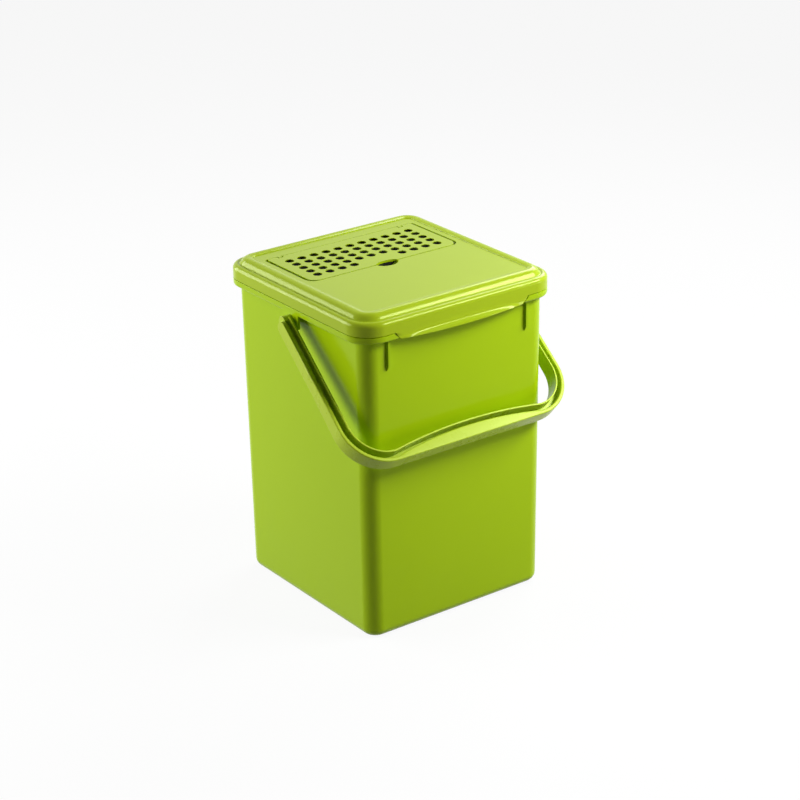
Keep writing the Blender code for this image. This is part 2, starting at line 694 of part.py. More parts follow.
def build_flap(parts, cutters, material):
    """The perforated flap with its notch and hinge barrels. Its origin is on the hinge axis."""
    low = FLAP_TOP_Z - FLAP_THICK
    flap = loft("vent_flap", flap_rings(0.0, low, FLAP_TOP_Z), parts)
    flap.data.materials.append(material)

    mesh_data = bmesh.new()
    for row in range(HOLE_ROWS):
        for column in range(HOLE_COLUMNS):
            if row == HOLE_ROWS - 1 and column in NOTCH_COLUMNS:
                continue
            x = (column - (HOLE_COLUMNS - 1) / 2) * HOLE_PITCH_X
            y = HOLE_BACK_Y - row * HOLE_PITCH_Y
            bmesh.ops.create_cone(
                mesh_data,
                cap_ends=True,
                segments=12,
                radius1=HOLE_RADIUS,
                radius2=HOLE_RADIUS,
                depth=4 * FLAP_THICK,
                matrix=Matrix.Translation((x, y, FLAP_TOP_Z)),
            )
    combine(flap, add_object("vent_holes", mesh_data, parts), "DIFFERENCE", cutters)

    mesh_data = bmesh.new()
    stretch = Matrix.Diagonal((NOTCH_HALF_WIDTH, NOTCH_IN_FLAP, 1.0, 1.0))
    bmesh.ops.create_cone(
        mesh_data,
        cap_ends=True,
        segments=28,
        radius1=1.0,
        radius2=1.0,
        depth=4 * FLAP_THICK,
        matrix=Matrix.Translation((0.0, FLAP_FRONT_Y, FLAP_TOP_Z)) @ stretch,
    )
    combine(flap, add_object("finger_notch", mesh_data, parts), "DIFFERENCE", cutters)

    edge_half = FLAP_WIDTH / 2 - FLAP_BACK_CORNER
    back_edge = rod_along_x(
        "back_edge", FLAP_THICK / 2, -edge_half, edge_half, FLAP_AXIS_Y, FLAP_AXIS_Z, parts, sides=16
    )
    combine(flap, back_edge, "UNION", cutters)
    for side in (-1, 1):
        low_x = side * FLAP_HINGE_X - HINGE_RELIEF_WIDTH / 2
        high_x = side * FLAP_HINGE_X + HINGE_RELIEF_WIDTH / 2
        relief = block(
            "hinge_relief",
            (low_x, FLAP_AXIS_Y - HINGE_RELIEF_DEPTH, low - FLAP_THICK),
            (high_x, FLAP_AXIS_Y + FLAP_THICK, FLAP_TOP_Z + FLAP_THICK),
            parts,
        )
        combine(flap, relief, "DIFFERENCE", cutters)
        pin = rod_along_x(
            "flap_pin",
            HINGE_PIN_RADIUS,
            low_x - HINGE_PIN_RADIUS,
            high_x + HINGE_PIN_RADIUS,
            FLAP_AXIS_Y,
            FLAP_AXIS_Z,
            parts,
            sides=12,
        )
        combine(flap, pin, "UNION", cutters)
    return flap


def build_pad(parts, material):
    """The carbon filter pad, lying in the tray."""
    pad = loft("filter_pad", [pad_ring(0.0, PAD_TOP_Z - PAD_THICK), pad_ring(0.0, PAD_TOP_Z)], parts)
    pad.data.materials.append(material)
    return pad


def grip_swell(x, amount):
    """How far a line of the bail swells towards the pivot at x, most in the middle of the grip."""
    half = BAIL_HALF_LOW - BAIL_CORNER
    return amount * max(0.0, 1 - (x / half) ** 2)


def bail_line(inset, swell, start=0.0):
    """A line along the bail, inside its outer edge by an inset, from the left arm to the right."""
    straight = BAIL_REACH - BAIL_CORNER
    corner_x = BAIL_HALF_LOW - BAIL_CORNER
    radius = BAIL_CORNER - inset
    left = [(-(BAIL_HALF_TOP - inset), -start)]
    steps = 10
    for step in range(steps + 1):
        angle = step * math.pi / 2 / steps
        left.append((-corner_x - radius * math.cos(angle), straight + radius * math.sin(angle)))
    if swell == 0.0:
        return left + [(-x, reach) for x, reach in reversed(left)]
    bar_steps = 8
    middle = []
    for step in range(1, bar_steps):
        x = -corner_x + step * corner_x / bar_steps
        middle.append((x, BAIL_REACH - inset - grip_swell(x, swell)))
    centre = [(0.0, BAIL_REACH - inset - swell)]
    half = left + middle
    return half + centre + [(-x, reach) for x, reach in reversed(half)]


def bail_band(outer, outer_swell, inner, inner_swell, start=0.0):
    """The outline between two lines of the bail, drawn with the reach towards -Y."""
    band = bail_line(outer, outer_swell, start) + bail_line(inner, inner_swell, start)[::-1]
    return [(x, -reach) for x, reach in band]


def build_bail(parts, cutters, material):
    """The bail: an open channel bent to a U, with round arm ends, hubs and pins.

    It is modelled flat about the pivot axis, and then turned down to its rest.
    """
    flat = Matrix.Identity(4)
    width = BAIL_WIDTH
    swell = GRIP_SWELL
    low = -GRIP_LOW
    bail = plate("bail_handle", bail_band(0.0, 0.0, width, swell), low, RIM_TOP, flat, parts)
    bail.data.materials.append(material)

    below = low - ARM_END_RADIUS
    grip_start = BAIL_CORNER / 2 - BAIL_REACH
    under = plate(
        "arm_underside",
        [
            (grip_start, below),
            (grip_start, low - SEAT_GAP),
            (-GRIP_DROP_START, BAIL_BOTTOM),
            (width, BAIL_BOTTOM),
            (width, below),
        ],
        -BAIL_REACH,
        BAIL_REACH,
        side_plane(),
        parts,
    )
    combine(bail, under, "DIFFERENCE", cutters)

    overlap = FLANGE_WIDTH / 2
    step_band = bail_band(
        -overlap, 0.0, FLANGE_WIDTH + overlap, GRIP_FLANGE_SWELL, start=width
    )
    step_cut = plate("flange_step", step_band, FLANGE_TOP, RIM_TOP + overlap, flat, parts)
    combine(bail, step_cut, "DIFFERENCE", cutters)

    for side in (-1, 1):
        outer = side * BAIL_HALF_TOP
        inner = side * (BAIL_HALF_TOP - width)
        end = rod_along_x(
            "arm_end", ARM_END_RADIUS, min(outer, inner), max(outer, inner), 0.0, 0.0, parts, sides=24
        )
        combine(bail, end, "UNION", cutters)

    groove_band = bail_band(
        FLANGE_WIDTH, GRIP_FLANGE_SWELL, FLANGE_WIDTH + GROOVE_WIDTH, swell, start=ARM_END_RADIUS / 3
    )
    groove = plate("bail_groove", groove_band, BAIL_BOTTOM + BAIL_FLOOR, RIM_TOP + overlap, flat, parts)
    combine(bail, groove, "DIFFERENCE", cutters)

    tab_face = LID_WIDTH / 2
    tab_back = tab_face - TAB_THICK
    for side in (-1, 1):
        hub_start = BAIL_HALF_TOP - width + RIM_WIDTH / 2
        add_side_rod(bail, "hub", HUB_RADIUS, side, tab_face + SEAT_GAP, hub_start, parts, cutters)
        head_inner = tab_back - RUN_GAP
        add_side_rod(bail, "pin", PIN_RADIUS, side, head_inner - PIN_HEAD_LENGTH / 2, hub_start, parts, cutters)
        add_side_rod(
            bail, "pin_head", PIN_HEAD_RADIUS, side, head_inner - PIN_HEAD_LENGTH, head_inner, parts, cutters
        )
    return bail


def add_side_rod(bail, name, radius, side, near, far, parts, cutters):
    """Join a rod on the pivot axis between two distances from the middle, on one side."""
    low = min(side * near, side * far)
    high = max(side * near, side * far)
    rod = rod_along_x(name, radius, low, high, 0.0, 0.0, parts)
    combine(bail, rod, "UNION", cutters)


def settle(obj, origin, angle=0.0):
    """Apply an object's Booleans, put its origin on its joint's axis, and turn it about X."""
    bpy.context.view_layer.update()
    evaluated = obj.evaluated_get(bpy.context.evaluated_depsgraph_get())
    mesh = bpy.data.meshes.new_from_object(evaluated)
    mesh.name = obj.name
    obj.modifiers.clear()
    obj.data = mesh
    if angle == 0.0:
        mesh.transform(Matrix.Translation(-Vector(origin)))
    obj.location = origin
    obj.rotation_euler = (angle, 0.0, 0.0)
    mesh.shade_smooth()
    mesh.set_sharp_from_angle(angle=math.radians(35))


def main():
    """Build the caddy's five mouldings."""
    clear_scene()
    parts = make_collection("kitchen_compost_caddy")
    cutters = make_collection("cutters")
    lime = make_material("lime_plastic", LIME, 0.35)
    lime_bail = make_material("bail_plastic", LIME_DEEP, 0.3)
    carbon = make_material("carbon_filter", CHARCOAL, 0.9)

    bin_body = build_bin(parts, cutters, lime)
    lid = build_lid(parts, cutters, lime)
    flap = build_flap(parts, cutters, lime)
    pad = build_pad(parts, carbon)
    bail = build_bail(parts, cutters, lime_bail)

    settle(bin_body, (0.0, 0.0, 0.0))
    settle(lid, (0.0, HINGE_Y, HINGE_Z))
    settle(flap, (0.0, FLAP_AXIS_Y, FLAP_AXIS_Z))
    settle(pad, (0.0, PAD_CENTRE_Y, PAD_TOP_Z - PAD_THICK))
    settle(bail, (0.0, 0.0, PIVOT_Z), REST_ANGLE)


main()
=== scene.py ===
"""Kitchen compost caddy: the finished surfaces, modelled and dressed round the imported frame.

The front, with the lid's pull lip, faces -Y and the base stands on z = 0. Lengths are in metres.
"""

import logging
import math
from collections.abc import Callable, Iterator, Sequence
from contextlib import contextmanager
from dataclasses import dataclass
from enum import Enum

import bmesh
import bpy
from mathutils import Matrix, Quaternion, Vector


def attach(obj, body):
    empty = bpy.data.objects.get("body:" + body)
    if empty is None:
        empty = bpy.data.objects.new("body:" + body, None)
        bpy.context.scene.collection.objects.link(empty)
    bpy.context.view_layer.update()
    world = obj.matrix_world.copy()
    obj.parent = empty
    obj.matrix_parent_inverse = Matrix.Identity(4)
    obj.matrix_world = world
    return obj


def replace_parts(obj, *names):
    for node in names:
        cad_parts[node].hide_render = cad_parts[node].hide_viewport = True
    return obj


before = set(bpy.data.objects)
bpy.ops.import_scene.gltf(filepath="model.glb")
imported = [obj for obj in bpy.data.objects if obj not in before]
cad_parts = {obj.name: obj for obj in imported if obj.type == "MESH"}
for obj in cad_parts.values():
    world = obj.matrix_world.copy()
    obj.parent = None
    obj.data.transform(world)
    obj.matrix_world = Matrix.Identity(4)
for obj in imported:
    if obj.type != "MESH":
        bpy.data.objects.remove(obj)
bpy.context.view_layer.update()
MM = 0.001
FINE = 0.01 * MM  # how far off a point may lie and still count as at a place
SAME_ROW = 0.001 * MM  # the same, for a row whose place is rounded
ROW_DIGITS = 6
SMOOTH_ANGLE = 38.0  # in degrees: edges sharper than this keep their line
SHARP_ANGLE = 50.0  # in degrees: edges sharper than this are rounded
SIDES = (-1, 1)

logging.basicConfig(level=logging.INFO, format="%(message)s")
log = logging.getLogger("caddy")

Place = tuple[float, float, float]
Colour = tuple[float, float, float]
Ring = tuple[float, float]
Material = bpy.types.Material
FaceTest = Callable[[Vector, Vector], bool]
EdgeTest = Callable[[bmesh.types.BMEdge], bool]
PointTest = Callable[[Vector], bool]


class Body(Enum):
    """The moving bodies that pieces ride on."""

    BIN = "bin"
    LID = "lid"
    FLAP = "flap"
    BAIL = "bail"


class Way(Enum):
    """How one solid changes another."""

    CUT = "DIFFERENCE"
    JOIN = "UNION"


class Stock:
    """One mesh on the bench, shaped in edit mode by operators that act on what a test picks."""

    def __init__(self, name: str) -> None:
        """Take the object that an operator has just added.

        Args:
            name: the name that the object and its mesh get.
        """
        self.obj: bpy.types.Object = bpy.context.object
        self.obj.name = name
        self.obj.data.name = name
        bpy.ops.object.transform_apply(location=True, rotation=True, scale=True)

    @classmethod
    def box(cls, name: str, x: Sequence[float], y: Sequence[float], z: Sequence[float]) -> "Stock":
        """Add a box.

        Args:
            name: the new object's name.
            x: its ends along X, in either order.
            y: its ends along Y, in either order.
            z: its ends along Z, in either order.

        Returns:
            The box, ready to shape.
        """
        let_go()
        low = Vector([min(span) for span in (x, y, z)])
        high = Vector([max(span) for span in (x, y, z)])
        bpy.ops.mesh.primitive_cube_add(size=1.0, location=(low + high) / 2)
        bpy.context.object.scale = high - low
        return cls(name)

    @classmethod
    def rod(cls, name: str, radius: float, start: Place, end: Place, sides: int = 48) -> "Stock":
        """Add a round rod between two points.

        Args:
            name: the new object's name.
            radius: the rod's radius.
            start: the centre of one end.
            end: the centre of the other end.
            sides: how many flats stand for the round.

        Returns:
            The rod, ready to shape.
        """
        let_go()
        axis = Vector(end) - Vector(start)
        bpy.ops.mesh.primitive_cylinder_add(
            vertices=sides,
            radius=radius,
            depth=axis.length,
            location=(Vector(start) + Vector(end)) / 2,
            rotation=axis.to_track_quat("Z", "Y").to_euler(),
        )
        return cls(name)

    @classmethod
    def pin(
        cls, name: str, radius: float, x: Sequence[float], y: float, z: float, sides: int = 48
    ) -> "Stock":
        """Add a round rod along X, from its first end to its second."""
        return cls.rod(name, radius, (x[0], y, z), (x[1], y, z), sides)

    @classmethod
    def sheet(cls, name: str, half: Ring, corner: float, z: float, steps: int = 14) -> "Stock":
        """Add a flat rounded rectangle about the Z axis.

        Args:
            name: the new object's name.
            half: half the width and half the depth.
            corner: the corners' radius.
            z: the height that it lies at.
            steps: how many flats stand for each corner.

        Returns:
            The sheet, ready to extrude.
        """
        let_go()
        bpy.ops.mesh.primitive_plane_add(size=2.0, location=(0.0, 0.0, z))
        bpy.context.object.scale = (half[0], half[1], 1.0)
        stock = cls(name)
        with stock.edit():
            stock.pick_all()
            bpy.ops.mesh.bevel(offset=corner, segments=steps, affect="VERTICES", clamp_overlap=False)
        return stock

    def hold(self) -> None:
        """Make this the only selected object, and the active one."""
        let_go()
        self.obj.select_set(True)
        bpy.context.view_layer.objects.active = self.obj

    @contextmanager
    def edit(self) -> Iterator[None]:
        """Hold the mesh in edit mode, with nothing selected at the start."""
        self.hold()
        bpy.ops.object.mode_set(mode="EDIT")
        bpy.ops.mesh.select_mode(type="FACE")
        bpy.ops.mesh.select_all(action="DESELECT")
        try:
            yield
        finally:
            bpy.ops.object.mode_set(mode="OBJECT")

    def pick(self, kind: str, choose: Callable[[bmesh.types.BMesh], list]) -> int:
        """Select some parts of the mesh, and no others.

        Args:
            kind: VERT, EDGE or FACE.
            choose: takes the mesh and gives the parts.

        Returns:
            How many parts are selected.
        """
        bpy.ops.mesh.select_mode(type=kind)
        bpy.ops.mesh.select_all(action="DESELECT")
        mesh = bmesh.from_edit_mesh(self.obj.data)
        mesh.normal_update()
        picked = choose(mesh)
        for part in picked:
            part.select_set(True)
        if kind == "VERT":
            mesh.select_flush_mode()
        bmesh.update_edit_mesh(self.obj.data)
        return len(picked)

    def pick_all(self) -> None:
        """Select the whole mesh."""
        bpy.ops.mesh.select_all(action="SELECT")

    def pick_faces(self, test: FaceTest) -> int:
        """Select the faces that pass a test.

        Args:
            test: takes a face's middle and its normal.

        Returns:
            How many faces are selected.
        """
        return self.pick(
            "FACE",
            lambda mesh: [face for face in mesh.faces if test(face.calc_center_median(), face.normal)],
        )

    def pick_edges(self, test: EdgeTest) -> int:
        """Select the edges that pass a test."""
        return self.pick("EDGE", lambda mesh: [edge for edge in mesh.edges if test(edge)])

    def pick_points(self, test: PointTest) -> int:
        """Select the points whose place passes a test."""
        return self.pick("VERT", lambda mesh: [vert for vert in mesh.verts if test(vert.co)])

    def rows(self, axis: int) -> list[float]:
        """The places along an axis where points lie, in order."""
        verts = bmesh.from_edit_mesh(self.obj.data).verts
        return sorted({round(vert.co[axis], ROW_DIGITS) for vert in verts})

    def shift(self, by: Place) -> None:
        """Move what is selected."""
        bpy.ops.transform.translate(value=by)

    def pull(self, by: Place) -> None:
        """Extrude the selected faces and move the new ones."""
        bpy.ops.mesh.extrude_region_move(TRANSFORM_OT_translate={"value": by})

    def face_out(self) -> None:
        """Turn every face outwards."""
        self.pick_all()
        bpy.ops.mesh.normals_make_consistent(inside=False)

    def stretch(self, x: float, y: float, centre: Place = (0.0, 0.0, 0.0)) -> None:
        """Scale what is selected along X and Y about a centre."""
        bpy.ops.transform.resize(value=(x, y, 1.0), center_override=centre)

    def follow(self, start: Ring, rings: Sequence[Ring]) -> None:
        """Carry the selected flat face along a moulding's profile.

        Args:
            start: the face's inset and height.
            rings: the insets and heights that it goes through. No inset is less than the one before.
        """
        inset, z = start
        for next_inset, next_z in rings:
            if next_inset > inset:
                bpy.ops.mesh.inset(thickness=next_inset - inset, use_even_offset=True)
                self.shift((0.0, 0.0, next_z - z))
            else:
                self.pull((0.0, 0.0, next_z - z))
            inset, z = next_inset, next_z

    def taper(self, rise: float, half: Ring, grow: float) -> Ring:
        """Extrude the selected face up or down, and grow or shrink it about the Z axis.

        Args:
            rise: how far it goes along Z.
            half: half its width and half its depth at the start.
            grow: how far each side moves out.

        Returns:
            Half the width and half the depth at the end.
        """
        self.pull((0.0, 0.0, rise))
        end = (half[0] + grow, half[1] + grow)
        self.stretch(end[0] / half[0], end[1] / half[1])
        return end

    def round_sharp(self, width: float, test: PointTest, steps: int = 2) -> None:
        """Round the sharp edges that pass a test at both ends.

        Args:
            width: how far the round reaches on each side.
            test: takes the place of an edge's end.
            steps: how many flats stand for the round.
        """
        limit = math.radians(SHARP_ANGLE)
        with self.edit():
            found = self.pick_edges(
                lambda edge: len(edge.link_faces) == 2
                and edge.calc_face_angle(0.0) > limit
                and all(test(vert.co) for vert in edge.verts)
            )
            if found:
                bpy.ops.mesh.bevel(offset=width, segments=steps, affect="EDGES", clamp_overlap=True)

    def apply(self, kind: str, **settings: object) -> None:
        """Add a modifier and apply it.

        Args:
            kind: the modifier's type.
            settings: its settings, by name.
        """
        self.hold()
        modifier = self.obj.modifiers.new(kind.lower(), kind)
        for name, value in settings.items():
            setattr(modifier, name, value)
        bpy.ops.object.modifier_apply(modifier=modifier.name)

    def repeat(self, count: int, by: Place) -> None:
        """Copy the solid along a line, each copy with its own mesh.

        Args:
            count: how many there are in the end.
            by: how far each stands from the one before.
        """
        self.apply(
            "ARRAY",
            count=count,
            use_relative_offset=False,
            use_constant_offset=True,
            constant_offset_displace=by,
        )

    def combine(self, tool: "Stock", way: Way) -> None:
        """Cut or join another solid, which is used up.

        Args:
            tool: the other solid.
            way: whether it cuts or joins.
        """
        self.apply("BOOLEAN", operation=way.value, solver="EXACT", object=tool.obj)
        bpy.data.objects.remove(tool.obj, do_unlink=True)

    def finish(self, material: Material, body: Body) -> bpy.types.Object:
        """Clean and smooth the piece, give it its material and put it on its body.

        Args:
            material: the finish that shows.
            body: the body that it moves with.

        Returns:
            The finished object.
        """
        with self.edit():
            self.pick_all()
            bpy.ops.mesh.remove_doubles(threshold=MM / 500)
            self.face_out()
        self.hold()
        bpy.ops.object.shade_smooth_by_angle(angle=math.radians(SMOOTH_ANGLE))
        self.apply("WEIGHTED_NORMAL", mode="FACE_AREA", weight=50, keep_sharp=True)
        self.obj.data.materials.clear()
        self.obj.data.materials.append(material)
        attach(self.obj, body.value)
        log.info("%-16s %6d faces", self.obj.name, len(self.obj.data.polygons))
        return self.obj


def let_go() -> None:
    """Leave edit mode and deselect everything."""
    if bpy.context.mode != "OBJECT":
        bpy.ops.object.mode_set(mode="OBJECT")
    bpy.ops.object.select_all(action="DESELECT")


def about(half: float, middle: float = 0.0) -> Ring:
    """The ends of a length that reaches as far on both sides of its middle."""
    return (middle - half, middle + half)


def quarter(inset: float, z: float, radius: float, rise: int, steps: int = 5) -> list[Ring]:
    """Insets and heights of a quarter round that starts upright and ends flat.

    Args:
        inset: the inset at the start.
        z: the height at the start.
        radius: the round's radius.
        rise: 1 where it goes up, -1 where it goes down.
        steps: how many flats stand for it.

    Returns:
        The rings after the start.
    """
    angles = [math.pi / 2 * step / steps for step in range(1, steps + 1)]
    return [
        (inset + radius * (1 - math.cos(angle)), z + rise * radius * math.sin(angle)) for angle in angles
    ]


class Socket:
    """A shader value, with Python's operators adding Math nodes."""

    def __init__(self, graph: "Graph", output: bpy.types.NodeSocket) -> None:
        """Wrap an output socket of a graph."""
        self.graph = graph
        self.output = output

    def _math(self, operation: str, first: object, second: object) -> "Socket":
        """Add a Math node with two inputs."""
        return self.graph.node("ShaderNodeMath", {"operation": operation}, {0: first, 1: second})

    def __add__(self, other: object) -> "Socket":
        """Self plus other."""
        return self._math("ADD", self, other)

    __radd__ = __add__

    def __sub__(self, other: object) -> "Socket":
        """Self minus other."""
        return self._math("SUBTRACT", self, other)

    def __rsub__(self, other: object) -> "Socket":
        """Other minus self."""
        return self._math("SUBTRACT", other, self)

    def __mul__(self, other: object) -> "Socket":
        """Self times other."""
        return self._math("MULTIPLY", self, other)

    __rmul__ = __mul__


class Graph:
    """The node tree of a material or of the world."""

    def __init__(self, owner: Material | bpy.types.World) -> None:
        """Empty the owner's tree.

        Args:
            owner: the material or the world.
        """
        self.owner = owner
        owner.use_nodes = True
        self.tree = owner.node_tree
        self.tree.nodes.clear()

    def node(
        self, kind: str, settings: dict[str, object], inputs: dict[object, object], output: object = 0
    ) -> Socket:
        """Add any node.

        Args:
            kind: the node's type.
            settings: its settings, which are set first.
            inputs: values or links, by the socket's name or number.
            output: the output that is wanted, by name or number.

        Returns:
            The wanted output.
        """
        node = self.tree.nodes.new(kind)
        for name, value in settings.items():
            setattr(node, name, value)
        for key, value in inputs.items():
            if isinstance(value, Socket):
                self.tree.links.new(value.output, node.inputs[key])
            else:
                node.inputs[key].default_value = value
        return Socket(self, node.outputs[output])

    def place(self) -> Socket:
        """The point on the piece, in object coordinates."""
        return self.node("ShaderNodeTexCoord", {}, {}, "Object")

    def ray(self, kind: str) -> Socket:
        """1 for rays of a kind, such as Camera, else 0."""
        return self.node("ShaderNodeLightPath", {}, {}, f"Is {kind} Ray")

    def noise(self, place: Socket, scale: float, detail: float, roughness: float = 0.5) -> Socket:
        """A noise from 0 to 1, with its scale to the metre and its finer octaves."""
        inputs = {"Vector": place, "Scale": scale, "Detail": detail, "Roughness": roughness}
        return self.node("ShaderNodeTexNoise", {}, inputs, "Fac")

    def remap(self, value: Socket, low: float, high: float, to_low: float, to_high: float) -> Socket:
        """Stretch the range from low to high to another, held at its ends."""
        inputs = {0: value, 1: low, 2: high, 3: to_low, 4: to_high}
        return self.node("ShaderNodeMapRange", {"clamp": True}, inputs)

    def blend(self, amount: Socket, first: Colour, second: Colour) -> Socket:
        """Mix two colours by an amount."""
        inputs = {0: amount, 6: (*first, 1.0), 7: (*second, 1.0)}
        return self.node("ShaderNodeMix", {"data_type": "RGBA"}, inputs, 2)

    def bump(self, height: Socket, distance: float, strength: float) -> Socket:
        """Turn a height, which stands for a distance in metres at 1, into a normal."""
        inputs = {"Height": height, "Distance": distance, "Strength": strength}
        return self.node("ShaderNodeBump", {}, inputs, "Normal")

    def surface(self, inputs: dict[object, object]) -> Material:
        """Close the tree with a Principled shader."""
        return self.close(self.node("ShaderNodeBsdfPrincipled", {}, inputs))

    def close(self, shader: Socket, kind: str = "ShaderNodeOutputMaterial") -> Material:
        """Join a shader to the output.

        Args:
            shader: the shader.
            kind: the output node's type.

        Returns:
            The tree's owner.
        """
        end = self.tree.nodes.new(kind)
        self.tree.links.new(shader.output, end.inputs["Surface"])
        return self.owner


@dataclass(frozen=True)
class MouldedPlastic:
    """Self-coloured polypropylene from a polished mould, with a fine orange peel."""

    name: str
    colour: Colour = (0.380, 0.560, 0.004)
    shade: Colour = (0.366, 0.544, 0.003)
    roughness: float = 0.16
    gloss: float = 0.34
    tint: Colour = (0.90, 1.0, 0.45)
    peel: float = 0.000003
    peel_scale: float = 300.0
    cloud_scale: float = 9.0
    scuff_scale: float = 60.0
    scuff_range: Ring = (0.35, 0.75)
    ior: float = 1.42

    def make(self) -> Material:
        """Build the material.

        Returns:
            The material.
        """
        graph = Graph(bpy.data.materials.new(self.name))
        place = graph.place()
        cloud = graph.noise(place, self.cloud_scale, 2.0)
        grain = graph.noise(place, self.peel_scale, 3.0)
        scuff = graph.noise(place, self.scuff_scale, 5.0, 0.7)
        rough = graph.remap(
            scuff, *self.scuff_range, self.roughness - 0.03, self.roughness + 0.07
        )
        return graph.surface(
            {
                "Base Color": graph.blend(cloud, self.colour, self.shade),
                "Roughness": rough,
                "IOR": self.ior,
                "Specular IOR Level": self.gloss,
                "Specular Tint": (*self.tint, 1.0),
                "Normal": graph.bump(grain, self.peel, 0.5),
            }
        )


@dataclass(frozen=True)
class CarbonFelt:
    """Black felt charged with activated carbon: matt, with coarse grains and pale flecks."""

    name: str
    colour: Colour = (0.006, 0.006, 0.005)
    fleck: Colour = (0.060, 0.060, 0.055)
    cell_scale: float = 620.0
    grain_scale: float = 900.0
    fibre_scale: float = 260.0
    depth: float = 0.0008

    def make(self) -> Material:
        """Build the material.

        Returns:
            The material.
        """
        graph = Graph(bpy.data.materials.new(self.name))
        place = graph.place()
        spots = {"Vector": place, "Scale": self.cell_scale}
        cells = graph.node("ShaderNodeTexVoronoi", {"feature": "F1"}, spots, "Distance")
        grain = graph.noise(place, self.grain_scale, 4.0, 0.7)
        fibre = graph.noise(place, self.fibre_scale, 6.0, 0.8)
        specks = graph.remap(grain, 0.60, 0.72, 0.0, 1.0)
        height = cells * 0.6 + fibre * 0.8
        return graph.surface(
            {
                "Base Color": graph.blend(specks, self.colour, self.fleck),
                "Roughness": 0.95,
                "Specular IOR Level": 0.2,
                "Normal": graph.bump(height, self.depth, 0.9),
            }
        )


@dataclass(frozen=True)
class StudioFloor:
    """A plain sheet that looks white and keeps a faint shadow of the caddy."""

    name: str
    colour: Colour = (0.80, 0.80, 0.80)
    bounce: Colour = (0.29, 0.29, 0.29)
    shadow: float = 0.08

    def make(self) -> Material:
        """Build the material.

        Returns:
            The material.
        """
        graph = Graph(bpy.data.materials.new(self.name))
        glow = graph.node("ShaderNodeEmission", {}, {"Color": (1.0, 1.0, 1.0, 1.0), "Strength": 1.0})
        shaded = graph.node("ShaderNodeBsdfDiffuse", {}, {"Color": (*self.colour, 1.0)})
        pale = graph.node("ShaderNodeMixShader", {}, {0: self.shadow, 1: glow, 2: shaded})
        dull = graph.node("ShaderNodeBsdfDiffuse", {}, {"Color": (*self.bounce, 1.0)})
        seen = graph.ray("Camera") + graph.ray("Glossy") + graph.ray("Transmission")
        return graph.close(graph.node("ShaderNodeMixShader", {}, {0: seen, 1: dull, 2: pale}))


